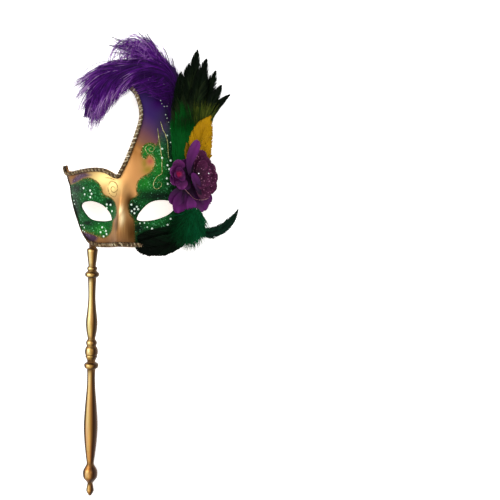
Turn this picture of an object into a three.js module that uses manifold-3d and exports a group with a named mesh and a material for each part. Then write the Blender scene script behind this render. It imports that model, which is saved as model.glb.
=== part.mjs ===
// Carnival half-mask on a turned stick, lying face up on a table. Millimetres, +Z up.
// In the mask's own frame x runs across the face, y runs up the face from the level of the eyes,
// and z is the height over the table. The exported group is moved so that its origin lies at the
// bottom centre of the whole object.
import * as THREE from 'three';
import { mergeVertices } from 'three/addons/utils/BufferGeometryUtils.js';
import Module from 'manifold-3d';

const wasm = await Module();
wasm.setup();

// Driving dimensions of the moulded shell
const wallThickness = 2;
const templeRadius = 84;
const templeHalfWidth = 76;
const browHeight = templeRadius - Math.sqrt(templeRadius ** 2 - templeHalfWidth ** 2);
const forehead = { startsAt: 20, radius: 250 };
const cheek = { startsAt: -5, radius: 120 };
const nose = { bridgeTop: 40, bridgeFull: 12, tipAt: -36, rootRise: 4, tipRise: 16, rootWidth: 9, tipWidth: 12 };
const socket = { x: 31, y: 2, depth: 3, halfWidth: 17, halfHeight: 13 };
const peakFlare = { rise: 17, fromY: 16, fullY: 52, fromX: -60, fullX: -78 };
const grid = { columns: 34, rows: 27, halfWidth: 81, low: -44, high: 144, centreShare: 0.5 };
const seatGap = 0.5;

// Driving dimensions of the trims and the stick
const braid = { width: 4.4, height: 2, pitch: 3, inset: 2.5, seat: 0.75, templeReach: 73.4 };
const stick = { top: [-41.4, -40.5, 28.6], ballCentre: [-52, -286, 8], sides: 12, roll: -0.5 };
const tongue = { width: 7, length: 15, thickness: 2, overlap: 1.5 };

// The feathers and the flower sit on the viewer's right temple, in a frame that lies flat on the shell there
const nestAt = { x: 58, y: 34 };
const feather = { thickness: 0.8, quill: 0.9, layerPitch: 1.1, steps: 9, sides: 4 };
const fanBow = { along: 0.0008, right: 0.0115 };

const ease = (from, to, value) => THREE.MathUtils.smoothstep((value - from) / (to - from), 0, 1);

// Front surface of the shell: a face-wide arc that wraps back to the temples, with a nose and eye sockets
function wrap(x) {
  const inside = Math.min(Math.abs(x), templeRadius - 0.5);
  return templeRadius - Math.sqrt(templeRadius ** 2 - inside ** 2);
}

function cheekSlope(y) {
  return Math.max(cheek.startsAt - y, 0) ** 2 / (2 * cheek.radius);
}

function faceHeight(x, y) {
  const back = Math.max(y - forehead.startsAt, 0) ** 2 / (2 * forehead.radius);
  const noseRise = nose.rootRise + nose.tipRise * ease(nose.bridgeTop, nose.tipAt, y);
  const noseWidth = THREE.MathUtils.lerp(nose.rootWidth, nose.tipWidth, ease(0, nose.tipAt, y));
  const bump = noseRise * Math.exp(-((x / noseWidth) ** 2)) * ease(nose.bridgeTop, nose.bridgeFull, y);
  const across = (Math.abs(x) - socket.x) / socket.halfWidth;
  const up = (y - socket.y) / socket.halfHeight;
  const hollow = socket.depth * Math.exp(-(across ** 2 + up ** 2));
  const flare = peakFlare.rise * ease(peakFlare.fromY, peakFlare.fullY, y)
    * ease(peakFlare.fromX, peakFlare.fullX, x);
  return browHeight - wrap(x) - back - cheekSlope(y) + bump - hollow + flare;
}

function faceNormal(x, y) {
  const step = 0.2;
  const slopeX = (faceHeight(x + step, y) - faceHeight(x - step, y)) / (2 * step);
  const slopeY = (faceHeight(x, y + step) - faceHeight(x, y - step)) / (2 * step);
  return new THREE.Vector3(-slopeX, -slopeY, 1).normalize();
}

const onFace = (x, y) => new THREE.Vector3(x, y, faceHeight(x, y));

// Outline of the shell seen from the front, stretch by stretch, clockwise from the left peak.
// Each stretch is one smooth curve from the end of the one before it.
const outline = [
  { stretch: 'peak', points: [[-77.8, 48.5], [-75.8, 46.5]] },
  { stretch: 'brow', points: [[-72.5, 41.5], [-54, 43.5], [-36, 45], [-21, 43.3], [-7.5, 36.5]] },
  { stretch: 'horn inside', points: [[1.5, 55], [10, 81.5], [12.6, 101], [5, 121.5], [-7, 132]] },
  { stretch: 'horn outside', points: [[12, 138.5], [33, 126], [45, 98], [56, 64], [74, 44]] },
  { stretch: 'right edge', points: [[78, 36], [76, 20], [70.5, 6], [61, -11], [53.6, -25], [45, -35]] },
  { stretch: 'bottom', points: [[33, -39], [14, -39], [0, -38], [-14, -39], [-33, -39], [-45, -35]] },
  { stretch: 'left edge', points: [[-53.6, -25], [-61, -11], [-70.5, 6], [-76, 20], [-79, 46]] },
];

// Rims of the eye holes on the viewer's right and left, counterclockwise from the inner corner, against the outline.
// They are cut by hand, so the two differ a little.
const eyeRims = [
  [[14, -9.7], [18.5, -11.3], [29, -10.5], [38, -7.8], [46, -3.3], [51, 3], [49.5, 7.8], [41.4, 10.2], [31.6, 9.7],
    [23.5, 5.6], [16.4, -3]],
  [[-12.6, -10.3], [-15.6, -3.6], [-25, 5], [-36.8, 9.1], [-46, 9.1], [-53, 7.4], [-55, 3.8], [-50.6, -1.8],
    [-44.4, -7.3], [-36.5, -10.5], [-22, -11.6]],
];

const startOf = (index) => outline[(index + outline.length - 1) % outline.length].points.at(-1);
const toVector2 = ([x, y]) => new THREE.Vector2(x, y);

function stretchCurve(name) {
  const index = outline.findIndex((row) => row.stretch === name);
  return new THREE.SplineCurve([startOf(index), ...outline[index].points].map(toVector2));
}

function eyeHole(rim) {
  const [corner, ...rest] = rim.map(toVector2);
  const path = new THREE.Path();
  path.moveTo(corner.x, corner.y);
  path.splineThru([...rest, corner]);
  return path;
}

// Conversions between three.js geometry and manifold solids
function weld(geometry) {
  const bare = geometry.clone();
  bare.deleteAttribute('normal');
  bare.deleteAttribute('uv');
  return mergeVertices(bare, 1e-4);
}

function solidOf(geometry) {
  const welded = weld(geometry);
  return new wasm.Manifold(new wasm.Mesh({
    numProp: 3,
    vertProperties: welded.attributes.position.array,
    triVerts: new Uint32Array(welded.index.array),
  }));
}

function geometryOf(solid) {
  const mesh = solid.getMesh();
  return new THREE.BufferGeometry()
    .setAttribute('position', new THREE.BufferAttribute(mesh.vertProperties, 3))
    .setIndex(new THREE.BufferAttribute(mesh.triVerts, 1));
}

function fuse(geometries) {
  return geometryOf(geometries.map(solidOf).reduce((all, one) => all.add(one)));
}

// A capped cylinder whose every vertex goes where place(along, across, up) puts it:
// along runs from 0 to 1, across and up run from -1 to 1 over the round section
function bent(sides, steps, place) {
  const geometry = new THREE.CylinderGeometry(1, 1, 1, sides, steps);
  const position = geometry.attributes.position;
  for (let i = 0; i < position.count; i += 1) {
    const placed = place(position.getY(i) + 0.5, position.getX(i), position.getZ(i));
    position.setXYZ(i, placed.x, placed.y, placed.z);
  }
  return weld(geometry);
}

const materials = {
  shell: new THREE.MeshStandardMaterial({ color: 0xc9943f, roughness: 0.4, metalness: 0.6 }),
  braid: new THREE.MeshStandardMaterial({ color: 0xa9834a, roughness: 0.45, metalness: 0.7 }),
  stick: new THREE.MeshStandardMaterial({ color: 0xa87832, roughness: 0.35, metalness: 0.7 }),
  plume: new THREE.MeshStandardMaterial({ color: 0x4b1173, roughness: 0.9, metalness: 0 }),
  coque: new THREE.MeshStandardMaterial({ color: 0x0c3a1c, roughness: 0.6, metalness: 0 }),
  marabou: new THREE.MeshStandardMaterial({ color: 0x07502b, roughness: 0.9, metalness: 0 }),
  yellow: new THREE.MeshStandardMaterial({ color: 0xc2920a, roughness: 0.8, metalness: 0 }),
  petal: new THREE.MeshStandardMaterial({ color: 0x551560, roughness: 0.8, metalness: 0 }),
};

function piece(name, geometry, material) {
  const mesh = new THREE.Mesh(geometry, material);
  mesh.name = name;
  return mesh;
}

// Moulded shell: a curved slab, cut to the outline with both eyes open and to the table under the temples
function shellGeometry() {
  const sweep = Math.asin(grid.halfWidth / templeRadius);
  const slab = new THREE.BoxGeometry(2, grid.high - grid.low, 1, grid.columns, grid.rows, 1);
  const position = slab.attributes.position;
  for (let i = 0; i < position.count; i += 1) {
    const share = position.getX(i);
    const turn = sweep * (grid.centreShare * share + (1 - grid.centreShare) * share ** 3);
    const point = onFace(templeRadius * Math.sin(turn), position.getY(i) + (grid.high + grid.low) / 2);
    if (position.getZ(i) < 0) {
      point.addScaledVector(faceNormal(point.x, point.y), -wallThickness);
    }
    position.setXYZ(i, point.x, point.y, point.z);
  }
  const shape = new THREE.Shape();
  shape.moveTo(...startOf(0));
  outline.forEach((row) => shape.splineThru(row.points.map(toVector2)));
  shape.holes.push(...eyeRims.map(eyeHole));
  const prism = new THREE.ExtrudeGeometry(shape, { depth: 90, curveSegments: 3, bevelEnabled: false });
  return geometryOf(solidOf(slab).intersect(solidOf(prism)));
}

// Gimp braid: a scalloped strip glued to the front of the shell, just inside its outline
function braidGeometry(stretches, trim) {
  const inside = [];
  stretches.forEach((name) => {
    const curve = stretchCurve(name);
    const count = Math.round(curve.getLength() / 6);
    for (let i = 0; i <= count; i += 1) {
      const point = curve.getPointAt(i / count);
      const along = curve.getTangentAt(i / count);
      inside.push([point.x + along.y * braid.inset, point.y - along.x * braid.inset]);
    }
  });
  const lifted = inside.map(([x, y]) => {
    const reach = THREE.MathUtils.clamp(x, -braid.templeReach, braid.templeReach);
    return onFace(reach, y).addScaledVector(faceNormal(reach, y), braid.seat + braid.height / 2);
  });
  const spine = new THREE.CatmullRomCurve3(lifted);
  const length = spine.getLength();
  const steps = Math.round((length * (trim.to - trim.from)) / braid.pitch);
  return bent(5, steps, (along, across, up) => {
    const at = trim.from + along * (trim.to - trim.from);
    const centre = spine.getPointAt(at);
    const forward = spine.getTangentAt(at);
    const normal = faceNormal(centre.x, centre.y);
    const side = new THREE.Vector3().crossVectors(forward, normal).normalize();
    const scallop = Math.round(along * steps) % 2 ? 1 : 0.78;
    return centre.addScaledVector(side, (across * braid.width * scallop) / 2)
      .addScaledVector(normal, (up * braid.height) / 2);
  });
}

// Turned stick: beads and vase turnings, from the top downwards
const turning = [
  { at: 0, radius: 5.8 }, { at: 9.5, radius: 5 }, { at: 20, radius: 4.2 }, { at: 21, radius: 4.8 },
  { at: 23.5, radius: 5.2 }, { at: 25.5, radius: 4.5 }, { at: 28, radius: 7 }, { at: 31, radius: 7 },
  { at: 32.5, radius: 5 }, { at: 34, radius: 4.2 }, { at: 52.5, radius: 3.6 }, { at: 67, radius: 4.6 },
  { at: 79.5, radius: 5.9 }, { at: 89.5, radius: 5.2 }, { at: 97.5, radius: 3.7 }, { at: 100, radius: 5 },
  { at: 102.5, radius: 5.6 }, { at: 105.5, radius: 4.7 }, { at: 108, radius: 6.1 },
  { at: 112.5, radius: 6.7 }, { at: 117, radius: 5.6 }, { at: 122.5, radius: 4 }, { at: 124.5, radius: 6.6 },
  { at: 126.5, radius: 7.4 }, { at: 129.5, radius: 6.4 }, { at: 131.5, radius: 4.2 }, { at: 149.5, radius: 4.2 },
  { at: 171, radius: 5.9 }, { at: 193, radius: 7.2 }, { at: 211.5, radius: 6.2 },
  { at: 227, radius: 4.5 }, { at: 234.5, radius: 3.8 }, { at: 238, radius: 5.2 },
  { at: 242, radius: 7.4 }, { at: 246.5, radius: 8 }, { at: 251, radius: 7 }, { at: 255.5, radius: 3.4 },
  { at: 257.5, radius: 3 }, { at: 262, radius: 3.8 }, { at: 265.5, radius: 4 }, { at: 270, radius: 1.6 },
];

function stickGeometry() {
  const profile = [
    new THREE.Vector2(0, -turning.at(-1).at),
    ...turning.toReversed().map((row) => new THREE.Vector2(row.radius, -row.at)),
    new THREE.Vector2(0, 0),
  ];
  const turned = new THREE.LatheGeometry(profile, stick.sides);
  const strap = new THREE.BoxGeometry(tongue.width, tongue.length + tongue.overlap, tongue.thickness);
  strap.translate(0, (tongue.length - tongue.overlap) / 2, 0);
  return fuse([turned, strap]);
}

function makeStick() {
  const mesh = piece('stick', stickGeometry(), materials.stick);
  const top = new THREE.Vector3(...stick.top);
  const upward = top.clone().sub(new THREE.Vector3(...stick.ballCentre)).normalize();
  mesh.position.copy(top);
  mesh.quaternion.setFromUnitVectors(new THREE.Vector3(0, 1, 0), upward);
  mesh.rotateY(stick.roll);
  return mesh;
}

// Feathers: flat blades with a raised shaft. A fan is a bowed surface given as the height of the point that
// lies `above` it at (x, y), and feathers that cross each other take different layers over it.
const bladeShape = (along) => Math.max(Math.sin(Math.PI * along ** 1.15), 0) ** 0.75;

function bladeGeometry({ root, bend, tip, width, layer }, fan) {
  const spine = new THREE.QuadraticBezierCurve(toVector2(root), toVector2(bend), toVector2(tip));
  return bent(feather.sides, feather.steps, (along, across, up) => {
    const centre = spine.getPoint(along);
    const forward = spine.getTangent(along);
    const half = Math.max(feather.quill / 2, (width / 2) * bladeShape(along));
    const x = centre.x + forward.y * across * half;
    const y = centre.y - forward.x * across * half;
    const thin = feather.thickness * (1 - 0.4 * along);
    return new THREE.Vector3(x, y, fan(x, y, layer * feather.layerPitch + (up * thin) / 2));
  });
}

const crestFan = (x, y, above) => seatGap + feather.thickness / 4 + above
  + fanBow.along * y ** 2 + fanBow.right * Math.max(x, 0) ** 2;

const crestFeathers = [
  { name: 'coque_feather_1', root: [-6, -4], bend: [-9, 50], tip: [-8, 110], width: 14, layer: 0 },
  { name: 'coque_feather_2', root: [-3, -5], bend: [-5, 55], tip: [0, 119], width: 15, layer: 1 },
  { name: 'coque_feather_3', root: [0, -6], bend: [-1, 60], tip: [7.6, 133], width: 15, layer: 2 },
  { name: 'coque_feather_4', root: [3, -5], bend: [4, 55], tip: [17, 124], width: 15, layer: 3 },
  { name: 'coque_feather_5', root: [6, -4], bend: [10, 48], tip: [28, 112], width: 15, layer: 0 },
  { name: 'coque_feather_6', root: [9, -3], bend: [11, 46], tip: [33, 97], width: 14, layer: 2 },
  { name: 'coque_feather_7', root: [10, -2], bend: [13, 62], tip: [41, 87], width: 9, layer: 1 },
];

const yellowFeather = { root: [15, 2], bend: [16, 28], tip: [24, 61], width: 24, layer: 0 };
const yellowFan = (x, y, above) => 7.3 + above + fanBow.along * y ** 2 + 0.0063 * x ** 2;

// Height over the cheek, measured square to the wrapped shell so that it clears the braid
const cheekClear = braid.seat + braid.height + 0.8;
const cheekFan = (x, y, above) => browHeight - wrap(x) - cheekSlope(y)
  + ((cheekClear + above) * templeRadius) / (templeRadius - wrap(x));

const cheekFeathers = [
  { name: 'cheek_feather_1', root: [64, -4], bend: [46, -25], tip: [19, -34], width: 18, layer: 0 },
  { name: 'cheek_feather_2', root: [66, -9], bend: [48, -38], tip: [16, -46], width: 21, layer: 1 },
];

const curlSlope = 0.2;
const curlFeather = { root: [71, -17], bend: [99, -33], tip: [117, 1], width: 13, layer: 0 };
const curlFan = (x, y, above) => 25.9 - (x - curlFeather.root[0]) * curlSlope + above;

// Locks of the fluffy pieces: round tapering tufts along a bowed line in space
function lockGeometry(root, tip, { bow, width, thickness }) {
  const start = new THREE.Vector3(...root);
  const end = new THREE.Vector3(...tip);
  const flat = new THREE.Vector3(end.y - start.y, start.x - end.x, 0).multiplyScalar(bow);
  const middle = start.clone().lerp(end, 0.5).add(flat);
  const spine = new THREE.QuadraticBezierCurve3(start, middle, end);
  return bent(4, 3, (along, across, up) => {
    const forward = spine.getTangent(along);
    const side = new THREE.Vector3(forward.y, -forward.x, 0).normalize();
    const over = new THREE.Vector3().crossVectors(side, forward);
    const swell = 0.12 + 0.88 * Math.sin(Math.PI * Math.min(0.3 + 0.7 * along, 0.97));
    return spine.getPoint(along).addScaledVector(side, (across * swell * width) / 2)
      .addScaledVector(over, (up * swell * thickness) / 2);
  });
}

// Ostrich plume: a shaft that rises beside the horn and droops over its top, with locks along both sides
const plumeShaft = new THREE.CatmullRomCurve3([
  [44, 90, 28.5], [51, 108, 28.5], [53, 124, 30], [47, 141, 33], [34, 151, 35], [15, 156, 36],
  [-5, 153, 36], [-21, 145, 36], [-34, 131, 35], [-41, 114, 33], [-43, 98, 31],
].map(([x, y, z]) => new THREE.Vector3(x, y, z)));
const plumeShaftWidth = 3.2;

const plumeLocks = [
  { at: 0.05, tip: [36, 112, 34], bow: -0.1, width: 11 },
  { at: 0.11, tip: [33, 121, 35], bow: -0.1, width: 12 },
  { at: 0.17, tip: [28, 128, 35], bow: -0.12, width: 13 },
  { at: 0.20, tip: [59, 143, 30], bow: 0.1, width: 9 },
  { at: 0.24, tip: [21, 131, 36], bow: -0.15, width: 13 },
  { at: 0.26, tip: [42, 167, 33], bow: 0.2, width: 12 },
  { at: 0.30, tip: [29, 179, 34], bow: 0.2, width: 12 },
  { at: 0.33, tip: [17, 187, 34], bow: 0.2, width: 11 },
  { at: 0.33, tip: [10, 128, 36.5], bow: -0.15, width: 14 },
  { at: 0.37, tip: [-2, 183, 34], bow: 0.2, width: 12 },
  { at: 0.41, tip: [-19, 177, 34], bow: 0.2, width: 12 },
  { at: 0.42, tip: [0, 127, 37], bow: -0.15, width: 14 },
  { at: 0.48, tip: [-22, 165, 36], bow: 0.15, width: 12 },
  { at: 0.51, tip: [-10, 125, 37], bow: -0.15, width: 14 },
  { at: 0.57, tip: [-39, 157, 36], bow: 0.15, width: 12 },
  { at: 0.60, tip: [-18, 117, 37], bow: -0.12, width: 13 },
  { at: 0.66, tip: [-51, 146, 36], bow: 0.15, width: 12 },
  { at: 0.69, tip: [-24, 108, 36], bow: -0.1, width: 12 },
  { at: 0.75, tip: [-58, 135, 35], bow: 0.15, width: 11 },
  { at: 0.78, tip: [-30, 100, 35], bow: -0.1, width: 11 },
  { at: 0.83, tip: [-60, 122, 34], bow: 0.15, width: 11 },
  { at: 0.88, tip: [-54, 107, 32], bow: 0.1, width: 10 },
  { at: 0.92, tip: [-37, 91, 32], bow: -0.05, width: 9 },
  { at: 0.95, tip: [-46, 88, 30], bow: 0.05, width: 9 },
];

function plumeGeometry() {
  const shaft = bent(4, 15, (along, across, up) => {
    const forward = plumeShaft.getTangent(along);
    const side = new THREE.Vector3(forward.y, -forward.x, 0).normalize();
    const over = new THREE.Vector3().crossVectors(side, forward);
    const half = (plumeShaftWidth / 2) * (1 - 0.6 * along);
    return plumeShaft.getPoint(along).addScaledVector(side, across * half).addScaledVector(over, up * half);
  });
  const locks = plumeLocks.map((row) => {
    const root = plumeShaft.getPoint(row.at).toArray();
    return lockGeometry(root, row.tip, { bow: row.bow, width: row.width, thickness: row.width * 0.5 });
  });
  return fuse([shaft, ...locks]);
}

// Marabou puff: a round core under the flower with soft locks that hang down and to both sides
const puff = { core: [71, -15, 34], radius: 8, lockWidth: 12, lockThickness: 7 };
const puffLocks = [
  { reach: [-26, 4, 10], bow: 0.1 }, { reach: [-29, -8, 9], bow: 0.1 }, { reach: [-25, -19, 4], bow: 0.1 },
  { reach: [-16, -27, 1], bow: 0.08 }, { reach: [-5, -30, -1], bow: 0.05 }, { reach: [6, -27, -2], bow: 0.05 },
  { reach: [15, -20, -2], bow: -0.05 }, { reach: [19, -9, -2], bow: -0.1 }, { reach: [17, 4, -1], bow: -0.1 },
];

function puffGeometry() {
  const core = new THREE.SphereGeometry(puff.radius, 10, 7).translate(...puff.core);
  const locks = puffLocks.map((row) => {
    const tip = puff.core.map((value, axis) => value + row.reach[axis]);
    return lockGeometry(puff.core, tip, { bow: row.bow, width: puff.lockWidth, thickness: puff.lockThickness });
  });
  return fuse([core, ...locks]);
}

// Cloth flower: whorls of cupped petals, each die-cut in one with a small disc at its heart
const petalThickness = 1;
const petalShape = (along) => 0.16 + 0.84 * Math.sin(Math.PI * Math.min(0.06 + 0.86 * along ** 1.3, 1));

function petalGeometry({ angle, length, width }, cup) {
  const turn = THREE.MathUtils.degToRad(angle);
  return bent(6, 5, (along, across, up) => {
    const out = 1 + along * (length - 1);
    const half = (width / 2) * petalShape(along) * across;
    const x = out * Math.cos(turn) + half * Math.sin(turn);
    const y = out * Math.sin(turn) - half * Math.cos(turn);
    const rise = cup.rise * (out / cup.radius) ** 2 + (cup.roll * half ** 2) / width;
    return new THREE.Vector3(x, y, cup.base + rise + (up * petalThickness) / 2);
  });
}

function whorlGeometry({ petals, cup, disc }) {
  const heart = new THREE.CylinderGeometry(disc.radius, disc.radius, disc.height, 12);
  heart.rotateX(Math.PI / 2).translate(0, 0, disc.base + disc.height / 2);
  return fuse([heart, ...petals.map((row) => petalGeometry(row, cup))]);
}

const whorls = [
  {
    name: 'flower_back', at: [5, -3, 8.7], cup: { base: 0.8, rise: 6, radius: 36, roll: 0.5 },
    disc: { radius: 5, height: 5.4, base: -3.8 },
    petals: [
      { angle: 80, length: 42, width: 14 }, { angle: 42, length: 28, width: 20 },
      { angle: 2, length: 25, width: 22 }, { angle: -50, length: 33, width: 19 },
      { angle: -88, length: 34, width: 16 }, { angle: -118, length: 38, width: 18 },
    ],
  },
  {
    name: 'flower_ruffle', at: [6, -2, 10.9], cup: { base: 1, rise: 10, radius: 24, roll: 1.2 },
    disc: { radius: 4.5, height: 1.8, base: 0 },
    petals: [
      { angle: 60, length: 24, width: 21 }, { angle: 14, length: 23, width: 22 },
      { angle: -34, length: 24, width: 21 },
    ],
  },
  {
    name: 'side_blossom', at: [-14, 4, -0.5], cup: { base: 12, rise: 3, radius: 14, roll: 0.6 },
    disc: { radius: 2.8, height: 13, base: 0 },
    petals: [
      { angle: 84, length: 16, width: 15 }, { angle: 168, length: 12, width: 15 },
      { angle: -110, length: 18, width: 15 }, { angle: -16, length: 10, width: 12 },
    ],
  },
];

const mask = new THREE.Group();
mask.add(
  piece('mask_shell', shellGeometry(), materials.shell),
  piece('upper_braid', braidGeometry(['brow', 'horn inside'], { from: 0.035, to: 0.97 }), materials.braid),
  piece('lower_braid', braidGeometry(['right edge', 'bottom', 'left edge'], { from: 0.02, to: 0.965 }), materials.braid),
  makeStick(),
  piece('ostrich_plume', plumeGeometry(), materials.plume),
  piece('marabou_puff', puffGeometry(), materials.marabou),
  piece('curl_feather', bladeGeometry(curlFeather, curlFan), materials.coque),
);
cheekFeathers.forEach((row) => mask.add(piece(row.name, bladeGeometry(row, cheekFan), materials.coque)));

const nest = new THREE.Group();
nest.position.copy(onFace(nestAt.x, nestAt.y));
nest.rotation.y = Math.asin(nestAt.x / templeRadius);
crestFeathers.forEach((row) => nest.add(piece(row.name, bladeGeometry(row, crestFan), materials.coque)));
nest.add(piece('yellow_feather', bladeGeometry(yellowFeather, yellowFan), materials.yellow));
whorls.forEach((row) => {
  const mesh = piece(row.name, whorlGeometry(row), materials.petal);
  mesh.position.set(...row.at);
  nest.add(mesh);
});
mask.add(nest);

const box = new THREE.Box3().setFromObject(mask, true);
mask.position.set(-(box.min.x + box.max.x) / 2, -(box.min.y + box.max.y) / 2, -box.min.z);

const part = new THREE.Group();
part.add(mask);

export default part;
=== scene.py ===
import math

import bmesh
import bpy
import numpy as np
from mathutils import Matrix, Quaternion, Vector


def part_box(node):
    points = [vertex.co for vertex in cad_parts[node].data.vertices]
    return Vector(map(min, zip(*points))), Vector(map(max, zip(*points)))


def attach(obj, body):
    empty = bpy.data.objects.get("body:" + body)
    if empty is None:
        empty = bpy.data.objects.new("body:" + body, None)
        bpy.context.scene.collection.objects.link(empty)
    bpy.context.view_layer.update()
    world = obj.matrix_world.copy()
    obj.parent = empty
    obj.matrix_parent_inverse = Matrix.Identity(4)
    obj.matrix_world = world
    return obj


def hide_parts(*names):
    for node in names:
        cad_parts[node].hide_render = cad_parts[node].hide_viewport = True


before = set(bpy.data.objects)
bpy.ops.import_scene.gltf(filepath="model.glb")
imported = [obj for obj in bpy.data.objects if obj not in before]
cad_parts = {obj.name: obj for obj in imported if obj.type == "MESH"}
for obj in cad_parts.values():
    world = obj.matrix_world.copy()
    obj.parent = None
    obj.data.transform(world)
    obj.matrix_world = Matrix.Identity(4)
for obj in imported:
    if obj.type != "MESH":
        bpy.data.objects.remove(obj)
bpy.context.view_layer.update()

# Lengths are millimetres in the mask's own frame: x across the face, y up from eye level, z off the table.
# toRow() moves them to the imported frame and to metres.


# Plain maths

def ease(start, end, value):
    share = np.clip((value - start) / (end - start), 0, 1)
    return share * share * (3 - 2 * share)


def unit(vectors):
    return vectors / np.maximum(np.linalg.norm(vectors, axis=-1, keepdims=True), 1e-9)


def curveThrough(points, perSpan=8):
    pts = np.array(points, float)
    last = len(pts) - 1
    share = np.linspace(0, 1, perSpan, endpoint=False)[:, None]
    spans = []
    for i in range(last):
        before, here, there, after = pts[max(i - 1, 0)], pts[i], pts[i + 1], pts[min(i + 2, last)]
        leave, arrive = (there - before) / 2, (after - here) / 2
        spans.append((2 * here - 2 * there + leave + arrive) * share ** 3
                     + (3 * there - 3 * here - 2 * leave - arrive) * share ** 2 + leave * share + here)
    return np.concatenate([*spans, pts[-1:]])


def evenly(path, count):
    run = np.r_[0, np.cumsum(np.linalg.norm(np.diff(path, axis=0), axis=1))]
    stops = np.linspace(0, run[-1], count)
    return np.stack([np.interp(stops, run, path[:, k]) for k in range(path.shape[1])], 1)


def pathLength(path):
    return float(np.linalg.norm(np.diff(path, axis=0), axis=1).sum())


def bezier(ends, share):
    root, bend, tip = (np.asarray(p, float) for p in ends)
    share = np.asarray(share, float)[..., None]
    return root * (1 - share) ** 2 + 2 * bend * share * (1 - share) + tip * share ** 2


def insideOf(points, ring):
    # even-odd test of many points against one closed ring
    x, y = points[:, :1], points[:, 1:2]
    a, b = ring, np.roll(ring, -1, 0)
    with np.errstate(divide="ignore", invalid="ignore"):
        crossing = (b[:, 0] - a[:, 0]) * (y - a[:, 1]) / (b[:, 1] - a[:, 1]) + a[:, 0]
    hits = ((a[:, 1] > y) != (b[:, 1] > y)) & (x < crossing)
    return hits.sum(1) % 2 == 1


def nearestOn(points, ring):
    # the nearest place on a closed ring to each point, and how far off it is
    along = np.roll(ring, -1, 0) - ring
    share = ((points[:, None] - ring) * along).sum(2) / np.maximum((along ** 2).sum(1), 1e-9)
    foot = ring + np.clip(share, 0, 1)[..., None] * along
    gap = np.linalg.norm(points[:, None] - foot, axis=2)
    best = gap.argmin(1)
    rows = np.arange(len(points))
    return foot[rows, best], gap[rows, best]


def signedGap(points, ring):  # positive inside the ring
    return nearestOn(points, ring)[1] * np.where(insideOf(points, ring), 1, -1)


# Moulded face, the same form as in the CAD source

shellForm = {
    "templeRadius": 84, "browHeight": 84 - math.sqrt(84 ** 2 - 76 ** 2), "wall": 2.0,
    "cell": 1.1, "lowestEdge": 1.2, "templeEnd": 75.4,
    # brow and cheeks: a greater bend falls away less; nose: rise and width at the top, and what the tip adds
    "browLean": {"from": 20, "bend": 500}, "cheekLean": {"from": -5, "bend": 240},
    "nose": {"top": 40, "root": 12, "tip": -36, "rise": (4, 16), "width": (9, 3)},
    "eyeHollow": {"depth": 3, "at": (31, 2), "size": (17, 13)},
    "flare": {"rise": 17, "up": (16, 52), "out": (-60, -78)},  # the left temple turns up to its peak
    "runs": {
        "peak": [(-77.8, 48.5), (-75.8, 46.5)],
        "brow": [(-72.5, 41.5), (-54, 43.5), (-36, 45), (-21, 43.3), (-7.5, 36.5)],
        "hornInside": [(1.5, 55), (10, 81.5), (12.6, 101), (5, 121.5), (-7, 132)],
        "hornOutside": [(12, 138.5), (33, 126), (45, 98), (56, 64), (74, 44)],
        "rightEdge": [(78, 36), (76, 20), (70.5, 6), (61, -11), (53.6, -25), (45, -35)],
        "bottom": [(33, -39), (14, -39), (0, -38), (-14, -39), (-33, -39), (-45, -35)],
        "leftEdge": [(-53.6, -25), (-61, -11), (-70.5, 6), (-76, 20), (-79, 46)],
    },
    "rightEye": [(14, -9.7), (18.5, -11.3), (29, -10.5), (38, -7.8), (46, -3.3), (51, 3), (49.5, 7.8),
                 (41.4, 10.2), (31.6, 9.7), (23.5, 5.6), (16.4, -3)],
    "leftEye": [(-12.6, -10.3), (-15.6, -3.6), (-25, 5), (-36.8, 9.1), (-46, 9.1), (-53, 7.4), (-55, 3.8),
                (-50.6, -1.8), (-44.4, -7.3), (-36.5, -10.5), (-22, -11.6)],
}


def wrapBack(x):
    radius = shellForm["templeRadius"]
    return radius - np.sqrt(radius ** 2 - np.minimum(np.abs(x), radius - 0.5) ** 2)


def cheekSlope(y):
    lean = shellForm["cheekLean"]
    return np.maximum(lean["from"] - y, 0) ** 2 / lean["bend"]


def faceHeight(x, y):
    lean, nose, eye, flare = (shellForm[k] for k in ("browLean", "nose", "eyeHollow", "flare"))
    back = np.maximum(y - lean["from"], 0) ** 2 / lean["bend"]
    noseRise = nose["rise"][0] + nose["rise"][1] * ease(nose["top"], nose["tip"], y)
    noseWidth = nose["width"][0] + nose["width"][1] * ease(0, nose["tip"], y)
    bridge = noseRise * np.exp(-(x / noseWidth) ** 2) * ease(nose["top"], nose["root"], y)
    hollow = eye["depth"] * np.exp(-(((np.abs(x) - eye["at"][0]) / eye["size"][0]) ** 2
                                     + ((y - eye["at"][1]) / eye["size"][1]) ** 2))
    peak = flare["rise"] * ease(*flare["up"], y) * ease(*flare["out"], x)
    return shellForm["browHeight"] - wrapBack(x) - back - cheekSlope(y) + bridge - hollow + peak


def faceNormal(x, y, step=0.2):
    slopeX = (faceHeight(x + step, y) - faceHeight(x - step, y)) / (2 * step)
    slopeY = (faceHeight(x, y + step) - faceHeight(x, y - step)) / (2 * step)
    return unit(np.stack([-slopeX, -slopeY, np.ones_like(slopeX)], -1))


def onFace(plan, lift=0.0):
    plan = np.asarray(plan, float)
    x, y = plan[..., 0], plan[..., 1]
    return np.stack([x, y, faceHeight(x, y)], -1) + faceNormal(x, y) * lift


def runPath(name, perSpan=8):
    names = list(shellForm["runs"])
    start = shellForm["runs"][names[names.index(name) - 1]][-1]
    return curveThrough([start, *shellForm["runs"][name]], perSpan)


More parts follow.
